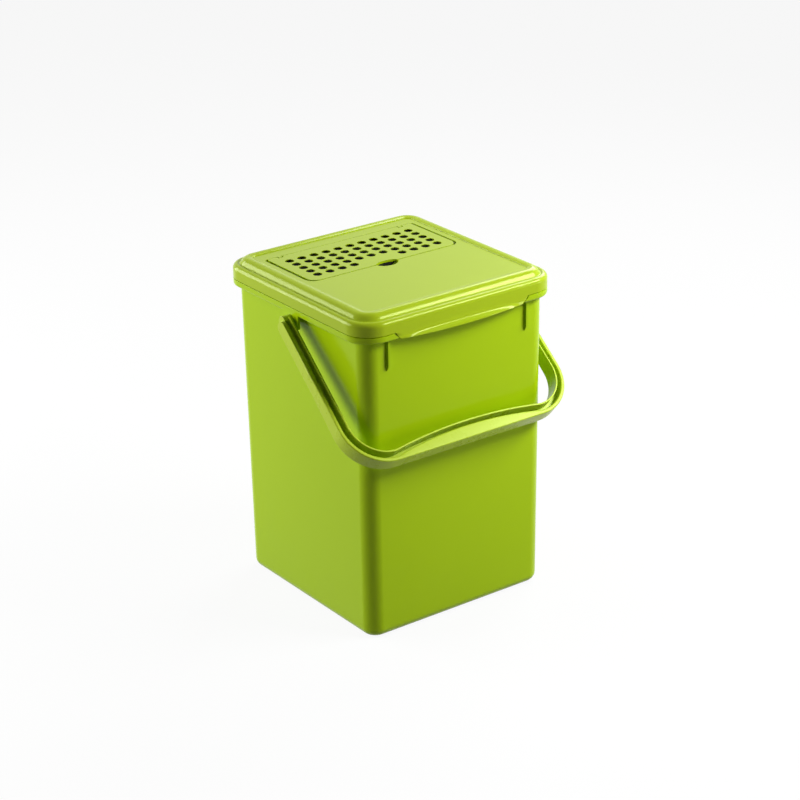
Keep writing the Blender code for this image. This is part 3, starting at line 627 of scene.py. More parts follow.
@dataclass
class Bin:
    """The tapered bin with its collar, ribs, pivot tabs and hinge brackets."""

    rim_half: Ring = (0.103, 0.10425)
    corner: float = 0.0237
    rim_z: float = 0.2803
    collar_face: float = 0.0040
    collar_turn: tuple[Ring, ...] = ((0.0003, -0.0009), (0.0010, -0.0015), (0.0024, -0.0017))
    overhang: float = 0.00735
    wall: float = 0.0024
    wall_corner: float = 0.0140
    wall_stations: int = 4
    draft: float = math.tan(math.radians(0.40))
    base_round: float = 0.008
    floor_z: float = 0.003
    foot_width: float = 0.009
    foot_rise: float = 0.0015
    edge: float = 0.0004
    lip_gap_top: float = 0.0706
    lip_gap_low: float = 0.0650
    lip_gap_depth: float = 0.00705
    rib_x: float = 0.0726
    rib_width: float = 0.0025
    rib_depth: float = 0.0025
    rib_low: float = 0.2442
    rib_slope: float = 0.006
    tab_half: float = 0.0113
    tab_low: float = 0.2634
    tab_wall: float = 0.0022
    pivot_z: float = 0.2690
    pin_hole: float = 0.0041
    hinge_x: float = 0.052
    hinge_y: float = 0.10985
    hinge_z: float = 0.2763
    hinge_bar: float = 0.0024
    cheek_radius: float = 0.0050
    cheek_wall: float = 0.003
    hook_half: float = 0.0100
    hook_gap: float = 0.0005
    hinge_drop: float = 0.0003
    hole_start: float = 0.0003
    gap_margin: float = 0.0022
    trim_round: float = 0.0005

    def build(self, plastic: Material) -> None:
        """Model the bin and put it in the place of the frame's plain one.

        Args:
            plastic: the bin's material.
        """
        body = self.shell()
        self.add_ribs(body)
        self.add_tabs(body)
        self.add_hinges(body)
        self.cut_lip_gap(body)
        body.round_sharp(self.trim_round, lambda p: self.rib_low - MM < p.z < self.rim_z - MM)
        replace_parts(body.finish(plastic, Body.BIN), "bin_body")

    def shell(self) -> Stock:
        """Model the tapered wall and the collar as one, then hollow them.

        Returns:
            The closed shell.
        """
        top = self.rim_z - self.collar_face / 2
        half = (self.rim_half[0] - self.overhang, self.rim_half[1] - self.overhang)
        body = Stock.sheet("caddy_bin", half, self.wall_corner, top)
        start = self.base_round
        step = (top - start) / self.wall_stations
        with body.edit():
            body.pick_all()
            for _ in range(self.wall_stations):
                half = body.taper(-step, half, -step * self.draft)
            body.follow((0.0, start), quarter(0.0, start, self.base_round, -1))
            body.face_out()
        body.combine(self.collar(), Way.JOIN)
        body.combine(self.cavity(), Way.CUT)
        self.cut_recess(body, (half[0] - self.base_round, half[1] - self.base_round))
        body.round_sharp(self.edge, lambda p: p.z > self.rim_z - FINE)
        return body

    def collar(self) -> Stock:
        """The collar as a solid plate, rounded under its outer edge.

        Returns:
            The plate.
        """
        low = self.rim_z - self.collar_face
        collar = Stock.sheet("collar", self.rim_half, self.corner, low)
        with collar.edit():
            collar.pick_all()
            collar.pull((0.0, 0.0, self.collar_face))
            collar.pick_faces(lambda c, n: abs(c.z - low) < FINE)
            collar.follow((0.0, low), [(inset, low + drop) for inset, drop in self.collar_turn])
            collar.face_out()
        return collar

    def cavity(self) -> Stock:
        """The space inside the bin, from above the rim to the floor.

        Returns:
            The solid to cut away.
        """
        over = 5 * MM
        mouth = self.overhang + self.wall - over * self.draft
        half = (self.rim_half[0] - mouth, self.rim_half[1] - mouth)
        cavity = Stock.sheet("cavity", half, self.wall_corner - self.wall, self.rim_z + over)
        start = self.floor_z + self.base_round / 2
        drop = self.rim_z + over - start
        with cavity.edit():
            cavity.pick_all()
            cavity.taper(-drop, half, -drop * self.draft)
            cavity.follow((0.0, start), quarter(0.0, start, self.base_round / 2, -1))
            cavity.face_out()
        return cavity

    def cut_recess(self, body: Stock, flat: Ring) -> None:
        """Cut the shallow recess that leaves a standing ring round the base.

        Args:
            body: the bin.
            flat: half the width and half the depth of the base's flat.
        """
        inside = (flat[0] - self.foot_width, flat[1] - self.foot_width)
        recess = Stock.sheet("recess", inside, self.base_round, -self.foot_rise, 8)
        with recess.edit():
            recess.pick_all()
            recess.pull((0.0, 0.0, 2 * self.foot_rise))
            recess.face_out()
        body.combine(recess, Way.CUT)

    def add_ribs(self, body: Stock) -> None:
        """Join the two upright ribs under the ends of the collar's gap.

        Args:
            body: the bin.
        """
        face = self.rim_half[1] - self.overhang
        front = -(face + self.rib_depth)
        tall = (self.rib_low, self.rim_z - self.collar_face)
        for side in SIDES:
            across = about(self.rib_width / 2, side * self.rib_x)
            rib = Stock.box("rib", across, (front, -(face - self.wall / 2)), tall)
            with rib.edit():
                rib.pick_points(lambda p: p.y < front + MM and p.z < self.rib_low + MM)
                rib.shift((0.0, 0.0, self.rib_slope))
            body.combine(rib, Way.JOIN)

    def add_tabs(self, body: Stock) -> None:
        """Join the pivot tabs, flush with the collar, and drill them.

        Args:
            body: the bin.
        """
        out = self.rim_half[0]
        tall = (self.tab_low, self.rim_z - self.collar_face / 2)
        for side in SIDES:
            across = (side * out, side * (out - self.tab_wall))
            body.combine(Stock.box("tab", across, about(self.tab_half), tall), Way.JOIN)
            through = (side * (out - self.overhang + self.hole_start), side * (out + self.overhang))
            body.combine(Stock.pin("hole", self.pin_hole, through, 0.0, self.pivot_z), Way.CUT)

    def add_hinges(self, body: Stock) -> None:
        """Join the two hinge brackets: a bar between two cheeks, behind the collar.

        Args:
            body: the bin.
        """
        root = self.rim_half[1] - self.overhang / 3
        top = self.rim_z - self.hinge_drop
        reach = self.hook_half + self.hook_gap + self.cheek_wall
        behind = (root - MM, self.hinge_y + 2 * self.cheek_radius)
        for side in SIDES:
            middle = side * self.hinge_x
            for end in SIDES:
                wall = sorted((middle + end * (reach - self.cheek_wall), middle + end * reach))
                cheek = Stock.pin("cheek", self.cheek_radius, wall, self.hinge_y, self.hinge_z)
                foot = Stock.box("foot", wall, (root, self.hinge_y), (self.hinge_z - 0.5 * MM, top + MM))
                cheek.combine(foot, Way.JOIN)
                wide = (wall[0] - MM, wall[1] + MM)
                cheek.combine(Stock.box("trim", wide, behind, (top, top + self.cheek_radius)), Way.CUT)
                body.combine(cheek, Way.JOIN)
            bar = Stock.pin("bar", self.hinge_bar, about(reach - MM, middle), self.hinge_y, self.hinge_z)
            body.combine(bar, Way.JOIN)

    def cut_lip_gap(self, body: Stock) -> None:
        """Cut the gap in the collar that the lid's pull lip hangs in.

        Args:
            body: the bin.
        """
        low = self.rim_z - self.collar_face - self.gap_margin
        top = self.rim_z + self.gap_margin
        under = self.rim_z - self.collar_face + self.collar_turn[-1][1]
        deep = (-(self.rim_half[1] + self.overhang), -(self.rim_half[1] - self.lip_gap_depth))
        gap = Stock.box("gap", about(self.lip_gap_low), deep, (low, top))
        slope = (self.lip_gap_top - self.lip_gap_low) / (self.rim_z - under)
        with gap.edit():
            for side in SIDES:
                for z in (top, low):
                    gap.pick_points(lambda p: abs(p.z - z) < FINE and p.x * side > 0)
                    gap.shift((side * slope * (z - under), 0.0, 0.0))
        body.combine(gap, Way.CUT)


@dataclass
class Lid:
    """The lid: skirt, shoulder, ridge and panel, with its pull lip, plug wall, tray and hooks."""

    half: Ring = (0.103, 0.10425)
    corner: float = 0.0237
    low_z: float = 0.2806
    skirt_top: float = 0.2887
    shoulder: float = 0.0042
    edge: float = 0.0004
    ridge: tuple[Ring, ...] = (
        (0.0049, 0.29275), (0.0055, 0.29250), (0.0062, 0.29275), (0.0069, 0.29370), (0.0077, 0.29480),
        (0.0086, 0.29585), (0.0096, 0.29675), (0.0107, 0.29740), (0.0119, 0.29782), (0.0131, 0.29800),
        (0.0144, 0.29795), (0.0158, 0.29765), (0.0173, 0.29715),
    )
    panel_inset: float = 0.0178
    band_inset: float = 0.0222
    panel_z: float = 0.2963
    wall: float = 0.0022
    plug_inset: float = 0.01025
    plug_wall: float = 0.0018
    plug_low: float = 0.2735
    lip_thick: float = 0.0020
    lip_top_half: float = 0.0700
    lip_slope: float = 0.98
    lip_columns: int = 28
    lip_flare: float = 0.0056
    lip_curl: tuple[Ring, ...] = ((0.9, 0.10), (0.9, 0.34), (0.8, 0.66), (0.5, 0.90), (0.2, 1.0))
    seat_z: float = 0.2943
    tray_floor: float = 0.2867
    tray_thick: float = 0.0016
    vents: int = 7
    vent_pitch: float = 0.0195
    vent_half: Ring = (0.003, 0.024)
    flap_gap: float = 0.0005
    side_gap: float = 0.0022
    scoop: Place = (0.0110, 0.0082, 0.0070)
    groove_rise: float = 0.0016
    groove_ends: Ring = (0.0018, 0.0015)
    tray_rim: float = 0.0023
    seat_rim: float = 0.0035
    pocket_rim: float = 0.0005
    pocket_corner: float = 0.0045
    clear: float = 0.0060
    post_half: float = 0.0015
    post_bore: float = 0.0010
    arm_span: Ring = (0.0003, 0.0060)
    arm_set_in: float = 0.0034
    arm_slope: float = 0.0015
    hook_play: float = 0.0005
    lip_round: float = 0.0004
    panel_round: float = 0.00035

    def build(self, plastic: Material, flap: "Flap") -> None:
        """Model the lid and put it in the place of the frame's plain one.

        Args:
            plastic: the lid's material.
            flap: the flap that the lid's rebate takes.
        """
        lid = self.shell()
        self.add_tray(lid, flap)
        self.add_lip(lid)
        self.add_hooks(lid)
        lid.round_sharp(self.panel_round, lambda p: p.z > self.panel_z - 0.1 * MM and p.y > -0.03)
        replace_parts(lid.finish(plastic, Body.LID), "lid")

    def shell(self) -> Stock:
        """Carry the outline over the top, and up and down the grooves of the underside.

        Returns:
            The closed shell.
        """
        start = self.low_z + self.edge
        lid = Stock.sheet("caddy_lid", self.half, self.corner, start)
        band = [
            (self.panel_inset - 0.2 * MM, self.panel_z + 0.70 * MM),
            (self.panel_inset, self.panel_z + 0.18 * MM),
            (self.panel_inset + 0.3 * MM, self.panel_z + 0.12 * MM),
            (self.band_inset - 1.6 * MM, self.panel_z + 0.05 * MM),
            (self.band_inset, self.panel_z),
        ]
        over = quarter(0.0, self.skirt_top, self.shoulder, 1, 6) + list(self.ridge) + band
        plug_in = self.plug_inset + self.plug_wall
        under = [
            (self.edge, self.low_z),
            (self.wall - self.edge, self.low_z),
            (self.wall, start),
            (self.wall, self.skirt_top),
            (self.wall + self.groove_ends[0], self.skirt_top + self.groove_rise),
            (self.plug_inset - self.groove_ends[1], self.skirt_top + self.groove_rise),
            (self.plug_inset, self.skirt_top),
            (self.plug_inset, self.plug_low + self.edge),
            (self.plug_inset + self.edge, self.plug_low),
            (plug_in - self.edge, self.plug_low),
            (plug_in, self.plug_low + self.edge),
            (plug_in, self.panel_z - self.wall - MM),
            (plug_in + MM, self.panel_z - self.wall),
        ]
        with lid.edit():
            lid.pick_all()
            lid.pull((0.0, 0.0, self.skirt_top - start))
            lid.follow((0.0, self.skirt_top), over)
            lid.pick_faces(lambda c, n: abs(c.z - start) < FINE)
            lid.follow((0.0, start), under)
        return lid

    def add_tray(self, lid: Stock, flap: "Flap") -> None:
        """Join the filter tray, then cut the flap's rebate, the tray's pocket and the finger scoop.

        Args:
            lid: the lid.
            flap: the flap that the rebate takes.
        """
        under = self.panel_z - self.wall / 2
        above = self.panel_z + self.clear
        base = self.tray_floor - self.tray_thick
        middle = flap.middle_y()
        pad_x, pad_y = flap.pad_half
        tray_y = about(pad_y + self.tray_rim, middle)
        tray = Stock.box("tray", about(pad_x + self.tray_rim), tray_y, (base, under))
        lid.combine(tray, Way.JOIN)
        seat_x = about(flap.half_x + self.seat_rim)
        seat_y = about(flap.half_y() + self.seat_rim, middle)
        seat = Stock.box("seat", seat_x, seat_y, (self.seat_z - self.wall, under))
        lid.combine(seat, Way.JOIN)
        boss_y = (flap.front_y - self.scoop[1] - self.wall, middle - pad_y)
        boss = Stock.box("boss", about(self.scoop[0] + self.wall), boss_y, (base, under))
        lid.combine(boss, Way.JOIN)
        lid.combine(flap.outline("rebate", self.flap_gap, (self.seat_z, above), self.side_gap), Way.CUT)
        room_y = (flap.back_y - flap.thick, flap.back_y + flap.thick / 2 + self.flap_gap)
        room = Stock.box("room", about(flap.half_x + self.flap_gap), room_y, (self.seat_z, above))
        lid.combine(room, Way.CUT)
        half = (pad_x + self.pocket_rim, pad_y + self.pocket_rim)
        pocket = Stock.sheet("pocket", half, self.pocket_corner, self.tray_floor, 6)
        with pocket.edit():
            pocket.pick_all()
            pocket.pull((0.0, 0.0, above - self.tray_floor))
            pocket.pick_all()
            pocket.shift((0.0, middle, 0.0))
            pocket.face_out()
        lid.combine(pocket, Way.CUT)
        self.cut_scoop(lid, flap)
        self.cut_vents(lid, flap)
        self.add_posts(lid, flap)

    def cut_scoop(self, lid: Stock, flap: "Flap") -> None:
        """Cut the dish for a fingertip in front of the flap.

        Args:
            lid: the lid.
            flap: the flap that it stands before.
        """
        let_go()
        bpy.ops.mesh.primitive_uv_sphere_add(
            segments=48, ring_count=24, radius=1.0, location=(0.0, flap.front_y, flap.top_z)
        )
        bpy.context.object.scale = self.scoop
        lid.combine(Stock("scoop"), Way.CUT)

    def cut_vents(self, lid: Stock, flap: "Flap") -> None:
        """Cut the slots in the tray's floor that the air comes up through.

        Args:
            lid: the lid.
            flap: the flap over the tray.
        """
        tall = (self.tray_floor - 3 * MM, self.tray_floor + 0.5 * MM)
        for index in range(self.vents):
            across = about(self.vent_half[0], (index - (self.vents - 1) / 2) * self.vent_pitch)
            slot = Stock.box("slot", across, about(self.vent_half[1], flap.middle_y()), tall)
            lid.combine(slot, Way.CUT)

    def add_posts(self, lid: Stock, flap: "Flap") -> None:
        """Join the posts that hold the flap's hinge pins.

        Args:
            lid: the lid.
            flap: the flap that they hold.
        """
        tall = (self.seat_z - 0.3 * MM, flap.top_z)
        for side in SIDES:
            x = side * flap.pin_x
            post = Stock.box("post", about(self.post_half, x), about(flap.thick, flap.back_y), tall)
            through = about(2 * self.post_half, x)
            bore = Stock.pin("bore", self.post_bore, through, flap.back_y, flap.axis_z())
            post.combine(bore, Way.CUT)
            lid.combine(post, Way.JOIN)

    def add_lip(self, lid: Stock) -> None:
        """Join the pull lip: a strip that hangs in the collar's gap and curls out to the front.

        Args:
            lid: the lid.
        """
        face = -self.half[1]
        z = self.low_z - 2.8 * MM
        thick = (face, face + self.lip_thick)
        lip = Stock.box("lip", about(self.lip_top_half), thick, (z, self.low_z + 2 * MM))
        with lip.edit():
            mesh = bmesh.from_edit_mesh(lip.obj.data)
            across = [edge for edge in mesh.edges if abs(edge.verts[0].co.x - edge.verts[1].co.x) > MM]
            bmesh.ops.subdivide_edges(mesh, edges=across, cuts=self.lip_columns - 1, use_grid_fill=True)
            bmesh.update_edit_mesh(lip.obj.data)
            reached = 0.0
            for drop, share in self.lip_curl:
                lip.pick_faces(lambda c, n: n.z < -0.2 and c.z < z + 0.3 * MM)
                lip.pull((0.0, 0.0, -drop * MM))
                z -= drop * MM
                self.flare_row(lip, z, share - reached)
                reached = share
            self.slant_ends(lip)
        lip.round_sharp(self.lip_round, lambda p: p.z < self.low_z - MM)
        lid.combine(lip, Way.JOIN)

    def flare_row(self, lip: Stock, z: float, share: float) -> None:
        """Bow the lip's lowest row out to the front.

        Args:
            lip: the lip, in edit mode.
            z: the row's height.
            share: how much of the whole flare this row adds.
        """
        for column in range(1, self.lip_columns):
            along = -1 + 2 * column / self.lip_columns
            x = self.lip_top_half * along
            lip.pick_points(lambda p: abs(p.x - x) < 0.1 * MM and abs(p.z - z) < FINE)
            lip.shift((0.0, -self.lip_flare * share * (1 - along * along), 0.0))

    def slant_ends(self, lip: Stock) -> None:
        """Draw the lip in towards its lower edge, so that its ends follow the collar's gap.

        Args:
            lip: the lip, in edit mode.
        """
        for z in lip.rows(2):
            if z < self.low_z:
                lip.pick_points(lambda p: abs(p.z - z) < 2 * SAME_ROW)
                half = self.lip_top_half - (self.low_z - z) * self.lip_slope
                lip.stretch(half / self.lip_top_half, 1.0)

    def add_hooks(self, lid: Stock) -> None:
        """Join the two hinge hooks behind the skirt.

        Args:
            lid: the lid.
        """
        hinge = Bin()
        y, z = hinge.hinge_y, hinge.hinge_z
        skirt = self.half[1]
        lift = 2 * hinge.cheek_radius
        for side in SIDES:
            low, high = about(hinge.hook_half, side * hinge.hinge_x)
            hook = Stock.pin("hook", hinge.cheek_radius, (low, high), y, z)
            tall = (self.low_z + self.arm_span[0], self.low_z + self.arm_span[1])
            arm = Stock.box("arm", (low, high), (skirt - self.wall / 2, y + 0.5 * MM), tall)
            with arm.edit():
                arm.pick_points(lambda p: p.y > skirt and p.z > self.low_z + 5 * MM)
                arm.shift((0.0, -self.arm_set_in, 0.0))
                arm.pick_points(lambda p: p.y > skirt + MM and p.z > self.low_z + 5 * MM)
                arm.shift((0.0, 0.0, -self.arm_slope))
            hook.combine(arm, Way.JOIN)
            through = (low - 3 * MM, high + 3 * MM)
            bore = Stock.pin("bore", hinge.hinge_bar + self.hook_play, through, y, z)
            hook.combine(bore, Way.CUT)
            mouth = Stock.box("mouth", (low - MM, high + MM), (y - lift, y + 2 * MM), (z - lift, z))
            hook.combine(mouth, Way.CUT)
            lid.combine(hook, Way.JOIN)


@dataclass
class Flap:
    """The perforated vent flap and the filter pad under it."""

    half_x: float = 0.077
    front_y: float = 0.0026
    back_y: float = 0.0722
    corner: float = 0.009
    back_corner: float = 0.0012
    top_z: float = 0.2966
    thick: float = 0.0020
    edge: float = 0.0006
    hole_edge: float = 0.00012
    field_thick: float = 0.0007
    lip_thick: float = 0.0007
    lip_reach: float = 0.0018
    columns: int = 11
    rows: int = 5
    hole_radius: float = 0.0041
    hole_side: float = 0.0637
    hole_back_y: float = 0.0577
    hole_front_y: float = 0.0151
    missing: tuple[int, ...] = (4, 5, 6)
    notch: Ring = (0.0110, 0.0040)
    notch_tall: Ring = (0.28, 0.31)
    field_reach: float = 0.0015
    undercut_end: float = 0.0040
    pin_x: float = 0.0644
    pin_radius: float = 0.0007
    relief: Ring = (0.0028, 0.0030)
    pad_half: Ring = (0.0730, 0.0320)
    pad_corner: float = 0.0040
    pad_thick: float = 0.0070
    pad_top: float = 0.2940
    pad_round: float = 0.0008

    def middle_y(self) -> float:
        """Middle of the flap along Y."""
        return (self.front_y + self.back_y) / 2

    def half_y(self) -> float:
        """Half of the flap's depth."""
        return (self.back_y - self.front_y) / 2

    def axis_z(self) -> float:
        """Height of the hinge axis."""
        return self.top_z - self.thick / 2

    def outline(self, name: str, grow: float, tall: Ring, sides: float = 0.0) -> Stock:
        """A solid with the flap's outline.

        Args:
            name: the solid's name.
            grow: how far it stands out all round.
            tall: its lowest and its highest height.
            sides: how much further it stands out at the left and right.

        Returns:
            The solid.
        """
        half_x = self.half_x + grow + sides
        deep = (self.front_y - grow, self.back_y + grow)
        solid = Stock.box(name, about(half_x), deep, tall)
        for front, radius in ((True, self.corner + grow), (False, self.back_corner + grow)):
            with solid.edit():
                solid.pick_edges(
                    lambda edge: abs(edge.verts[0].co.z - edge.verts[1].co.z) > (tall[1] - tall[0]) / 2
                    and (edge.verts[0].co.y < self.middle_y()) == front
                    and abs(abs(edge.verts[0].co.x) - half_x) < FINE
                )
                bpy.ops.mesh.bevel(offset=radius, segments=12, affect="EDGES", clamp_overlap=False)
        return solid

    def build(self, plastic: Material, carbon: Material) -> None:
        """Model the flap and the pad and put them in the places of the frame's plain ones.

        Args:
            plastic: the flap's material.
            carbon: the pad's material.
        """
        flap = self.outline("caddy_flap", 0.0, (self.top_z - self.thick, self.top_z))
        corner_y = self.back_y - self.back_corner + FINE
        flap.round_sharp(self.edge, lambda p: p.z > self.top_z - FINE and p.y < corner_y, 1)
        along = about(self.half_x - self.back_corner)
        flap.combine(Stock.pin("back", self.thick / 2, along, self.back_y, self.axis_z(), 24), Way.JOIN)
        flap.combine(self.hollow_field(), Way.CUT)
        for side in SIDES:
            flap.combine(self.undercut(side), Way.CUT)
        flap.combine(self.hole_grid(), Way.CUT)
        low, high = self.notch_tall
        notch = Stock.rod("notch", 1.0, (0.0, self.front_y, low), (0.0, self.front_y, high), 64)
        with notch.edit():
            notch.pick_all()
            notch.stretch(*self.notch, (0.0, self.front_y, low))
        flap.combine(notch, Way.CUT)
        self.cut_reliefs(flap)
        self.add_pins(flap)
        flap.round_sharp(self.hole_edge, self.in_field)
        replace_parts(flap.finish(plastic, Body.FLAP), "vent_flap")
        self.build_pad(carbon)

    def in_field(self, point: Vector) -> bool:
        """Whether a point lies on the top, round the holes or the notch.

        Args:
            point: its place.

        Returns:
            True where it does.
        """
        reach = 2 * self.hole_radius
        inside = abs(point.x) < self.hole_side + reach and point.y < self.hole_back_y + reach
        return inside and point.z > self.top_z - FINE

    def hollow_field(self) -> Stock:
        """The hollow under the perforated field, which leaves it thinner than the flap's border.

        Returns:
            The solid to cut away.
        """
        reach = self.hole_radius + self.field_reach
        deep = (self.hole_front_y - reach, self.hole_back_y + reach)
        tall = (self.top_z - 2 * self.thick, self.top_z - self.field_thick)
        return Stock.box("hollow", about(self.hole_side + reach), deep, tall)

    def undercut(self, side: int) -> Stock:
        """The relief under a side edge, which leaves only a thin lip over the gap beside it.

        Args:
            side: -1 for the left edge, 1 for the right one.

        Returns:
            The solid to cut away.
        """
        across = (side * (self.half_x - self.lip_reach), side * (self.half_x + MM))
        deep = (self.front_y + self.corner / 2, self.back_y - self.undercut_end)
        tall = (self.top_z - 2 * self.thick, self.top_z - self.lip_thick)
        return Stock.box("undercut", across, deep, tall)

    def hole_grid(self) -> Stock:
        """One drill, copied to each place of the grid that has a hole.

        Returns:
            All the drills, as one solid.
        """
        pitch_x = 2 * self.hole_side / (self.columns - 1)
        pitch_y = (self.hole_back_y - self.hole_front_y) / (self.rows - 1)
        start = (-self.hole_side, self.hole_front_y, self.top_z - 2 * self.thick)
        end = (-self.hole_side, self.hole_front_y, self.top_z + self.thick)
        grid = Stock.rod("holes", self.hole_radius, start, end, 28)
        grid.repeat(self.columns, (pitch_x, 0.0, 0.0))
        grid.repeat(self.rows, (0.0, pitch_y, 0.0))
        low = -self.hole_side + (self.missing[0] - 0.5) * pitch_x
        high = -self.hole_side + (self.missing[-1] + 0.5) * pitch_x
        with grid.edit():
            grid.pick_points(lambda p: low < p.x < high and p.y < self.hole_front_y + pitch_y / 2)
            bpy.ops.mesh.delete(type="VERT")
        return grid

    def cut_reliefs(self, flap: Stock) -> None:
        """Cut the two notches in the back edge that the lid's posts stand in.

        Args:
            flap: the flap.
        """
        deep = (self.back_y - self.relief[1], self.back_y + self.thick)
        tall = (self.top_z - 2 * self.thick, self.top_z + self.thick)
        for side in SIDES:
            relief = Stock.box("relief", about(self.relief[0], side * self.pin_x), deep, tall)
            flap.combine(relief, Way.CUT)

    def add_pins(self, flap: Stock) -> None:
        """Join the hinge pins across the notches.

        Args:
            flap: the flap.
        """
        for side in SIDES:
            along = about(self.relief[0] + self.pin_radius, side * self.pin_x)
            pin = Stock.pin("pin", self.pin_radius, along, self.back_y, self.axis_z(), 20)
            flap.combine(pin, Way.JOIN)

    def build_pad(self, carbon: Material) -> None:
        """Model the filter pad, with its softened edges.

        Args:
            carbon: the pad's material.
        """
        low = self.pad_top - self.pad_thick
        top = self.pad_top - self.pad_round
        pad = Stock.sheet("caddy_filter", self.pad_half, self.pad_corner, low, 8)
        with pad.edit():
            pad.pick_all()
            pad.pull((0.0, 0.0, top - low))
            pad.follow((0.0, top), quarter(0.0, top, self.pad_round, 1, 3))
            pad.pick_all()
            pad.shift((0.0, self.middle_y(), 0.0))
        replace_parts(pad.finish(carbon, Body.LID), "filter_pad")


@dataclass
class Bail:
    """The bail: an open channel bent to a U, with round arm ends and snap pins."""

    pivot: Place = (0.0, 0.0, 0.2690)
    rest: float = 40.5
    half_top: float = 0.1150
    half_low: float = 0.1170
    reach: float = 0.15075
    corner: float = 0.0395
    flange: float = 0.0036
    groove: float = 0.0041
    rim: float = 0.0016
    flange_swell: float = 0.0078
    groove_swell: float = -0.0014
    bottom: float = -0.0053
    flange_top: float = 0.0057
    rim_top: float = 0.0075
    floor: float = 0.0060
    drop: float = 0.0030
    drop_start: float = 0.062
    land_round: float = 0.0011
    edge_round: float = 0.00045
    end_radius: float = 0.0050
    pin_radius: float = 0.0036
    head_radius: float = 0.0046
    hub_radius: float = 0.0052
    tab_face: float = 0.103
    tab_wall: float = 0.0022
    hub_gap: float = 0.0003
    head_gap: float = 0.0005
    head_long: float = 0.0018
    end_round: float = 0.00045
    bar_steps: int = 10

    def build(self, plastic: Material) -> None:
        """Model the bail and put it in the place of the frame's plain one.

        Args:
            plastic: the bail's material.
        """
        bail = self.section()
        self.carry_arm(bail)
        self.carry_bar(bail)
        self.deepen_grip(bail)
        with bail.edit():
            bail.pick_faces(lambda c, n: abs(c.x) < FINE)
            bpy.ops.mesh.delete(type="FACE")
        bail.apply("MIRROR", use_axis=(True, False, False), use_mirror_merge=True, merge_threshold=FINE)
        with bail.edit():
            bail.face_out()
        land = self.flange_top - 0.1 * MM
        bail.round_sharp(
            self.land_round, lambda p: p.y < -0.5 * MM and land < p.z < land + 0.2 * MM, 4
        )
        bail.round_sharp(self.edge_round, lambda p: p.y < -0.5 * MM, 3)
        for side in SIDES:
            for top in (True, False):
                bail.combine(self.end_corner(side, top), Way.CUT)
        self.add_ends(bail)
        bail.obj.location = self.pivot
        bail.obj.rotation_euler = (math.radians(self.rest), 0.0, 0.0)
        bail.hold()
        bpy.ops.object.transform_apply(location=True, rotation=True, scale=True)
        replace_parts(bail.finish(plastic, Body.BAIL), "bail_handle")

    def width(self) -> float:
        """Width of the channel on the arms."""
        return self.flange + self.groove + self.rim

    def section(self) -> Stock:
        """The channel's cross-section at the left pivot: a floor, a thick flange and a thin rim.

        Returns:
            The flat section, in the plane of the pivot axis and the bail's normal.
        """
        let_go()
        bpy.ops.mesh.primitive_plane_add(size=1.0, rotation=(math.pi / 2, 0.0, 0.0))
        start = -self.half_top + self.flange
        bpy.context.object.scale = (self.groove, self.floor, 1.0)
        bpy.context.object.location = (start + self.groove / 2, 0.0, self.bottom + self.floor / 2)
        bail = Stock("caddy_bail")
        stop = start + self.groove - FINE
        level = self.bottom + self.floor
        high = level - FINE
        with bail.edit():
            self.pull_edge(bail, lambda p: p.x < start + FINE, (-self.flange, 0.0, 0.0))
            self.pull_edge(bail, lambda p: p.x > stop, (self.rim, 0.0, 0.0))
            rise = (0.0, 0.0, self.flange_top - level)
            self.pull_edge(bail, lambda p: p.x < start + FINE and p.z > high, rise)
            rise = (0.0, 0.0, self.rim_top - level)
            self.pull_edge(bail, lambda p: p.x > stop and abs(p.z - level) < FINE, rise)
        return bail

    def pull_edge(self, bail: Stock, test: PointTest, by: Place) -> None:
        """Extrude the edge whose points pass a test.

        Args:
            bail: the section, in edit mode.
            test: takes a point's place.
            by: how far the new edge moves.
        """
        bail.pick_points(test)
        bpy.ops.mesh.select_mode(type="EDGE")
        bail.pull(by)

    def carry_arm(self, bail: Stock) -> None:
        """Carry the section down the arm and round the corner.

        Args:
            bail: the section.
        """
        straight = self.reach - self.corner
        lean = (self.half_low - self.half_top) / straight
        stations = (0.0, self.drop_start, (self.drop_start + straight) / 2, straight)
        with bail.edit():
            bail.pick_all()
            for near, far in zip(stations, stations[1:]):
                bail.pull((-(far - near) * lean, near - far, 0.0))
            bpy.ops.mesh.spin(
                steps=16,
                angle=-math.pi / 2,
                center=(-(self.half_low - self.corner), -straight, 0.0),
                axis=(0.0, 0.0, 1.0),
            )

    def carry_bar(self, bail: Stock) -> None:
        """Carry the section to the middle of the grip, and let its land and groove swell.

        Args:
            bail: the arm with its corner.
        """
        half = self.half_low - self.corner
        step = half / self.bar_steps
        with bail.edit():
            for index in range(self.bar_steps):
                x = -half + index * step
                end = x + step
                bail.pick_faces(lambda c, n: abs(c.x - x) < FINE and abs(n.x) > 0.9)
                bail.pull((step, 0.0, 0.0))
                near = 1 - (x / half) ** 2
                far = 1 - (end / half) ** 2
                edge = -self.reach + self.flange + self.flange_swell * near
                bail.pick_points(lambda p: abs(p.x - end) < FINE and p.y > edge - FINE)
                bail.shift((0.0, self.flange_swell * (far - near), 0.0))
                edge = edge + self.groove + self.flange_swell * (far - near) + self.groove_swell * near
                bail.pick_points(lambda p: abs(p.x - end) < FINE and p.y > edge - FINE)
                bail.shift((0.0, self.groove_swell * (far - near), 0.0))

    def deepen_grip(self, bail: Stock) -> None:
        """Lower the channel's floor and underside towards the grip, so that it fills the hand.

        Args:
            bail: half of the bail.
        """
        full = self.reach - self.corner / 2
        limit = self.bottom + self.floor + FINE
        with bail.edit():
            for y in bail.rows(1):
                share = min(1.0, max(0.0, (-y - self.drop_start) / (full - self.drop_start)))
                if share > 0.0:
                    bail.pick_points(lambda p: abs(p.y - y) < SAME_ROW and p.z < limit)
                    bail.shift((0.0, 0.0, -self.drop * share))

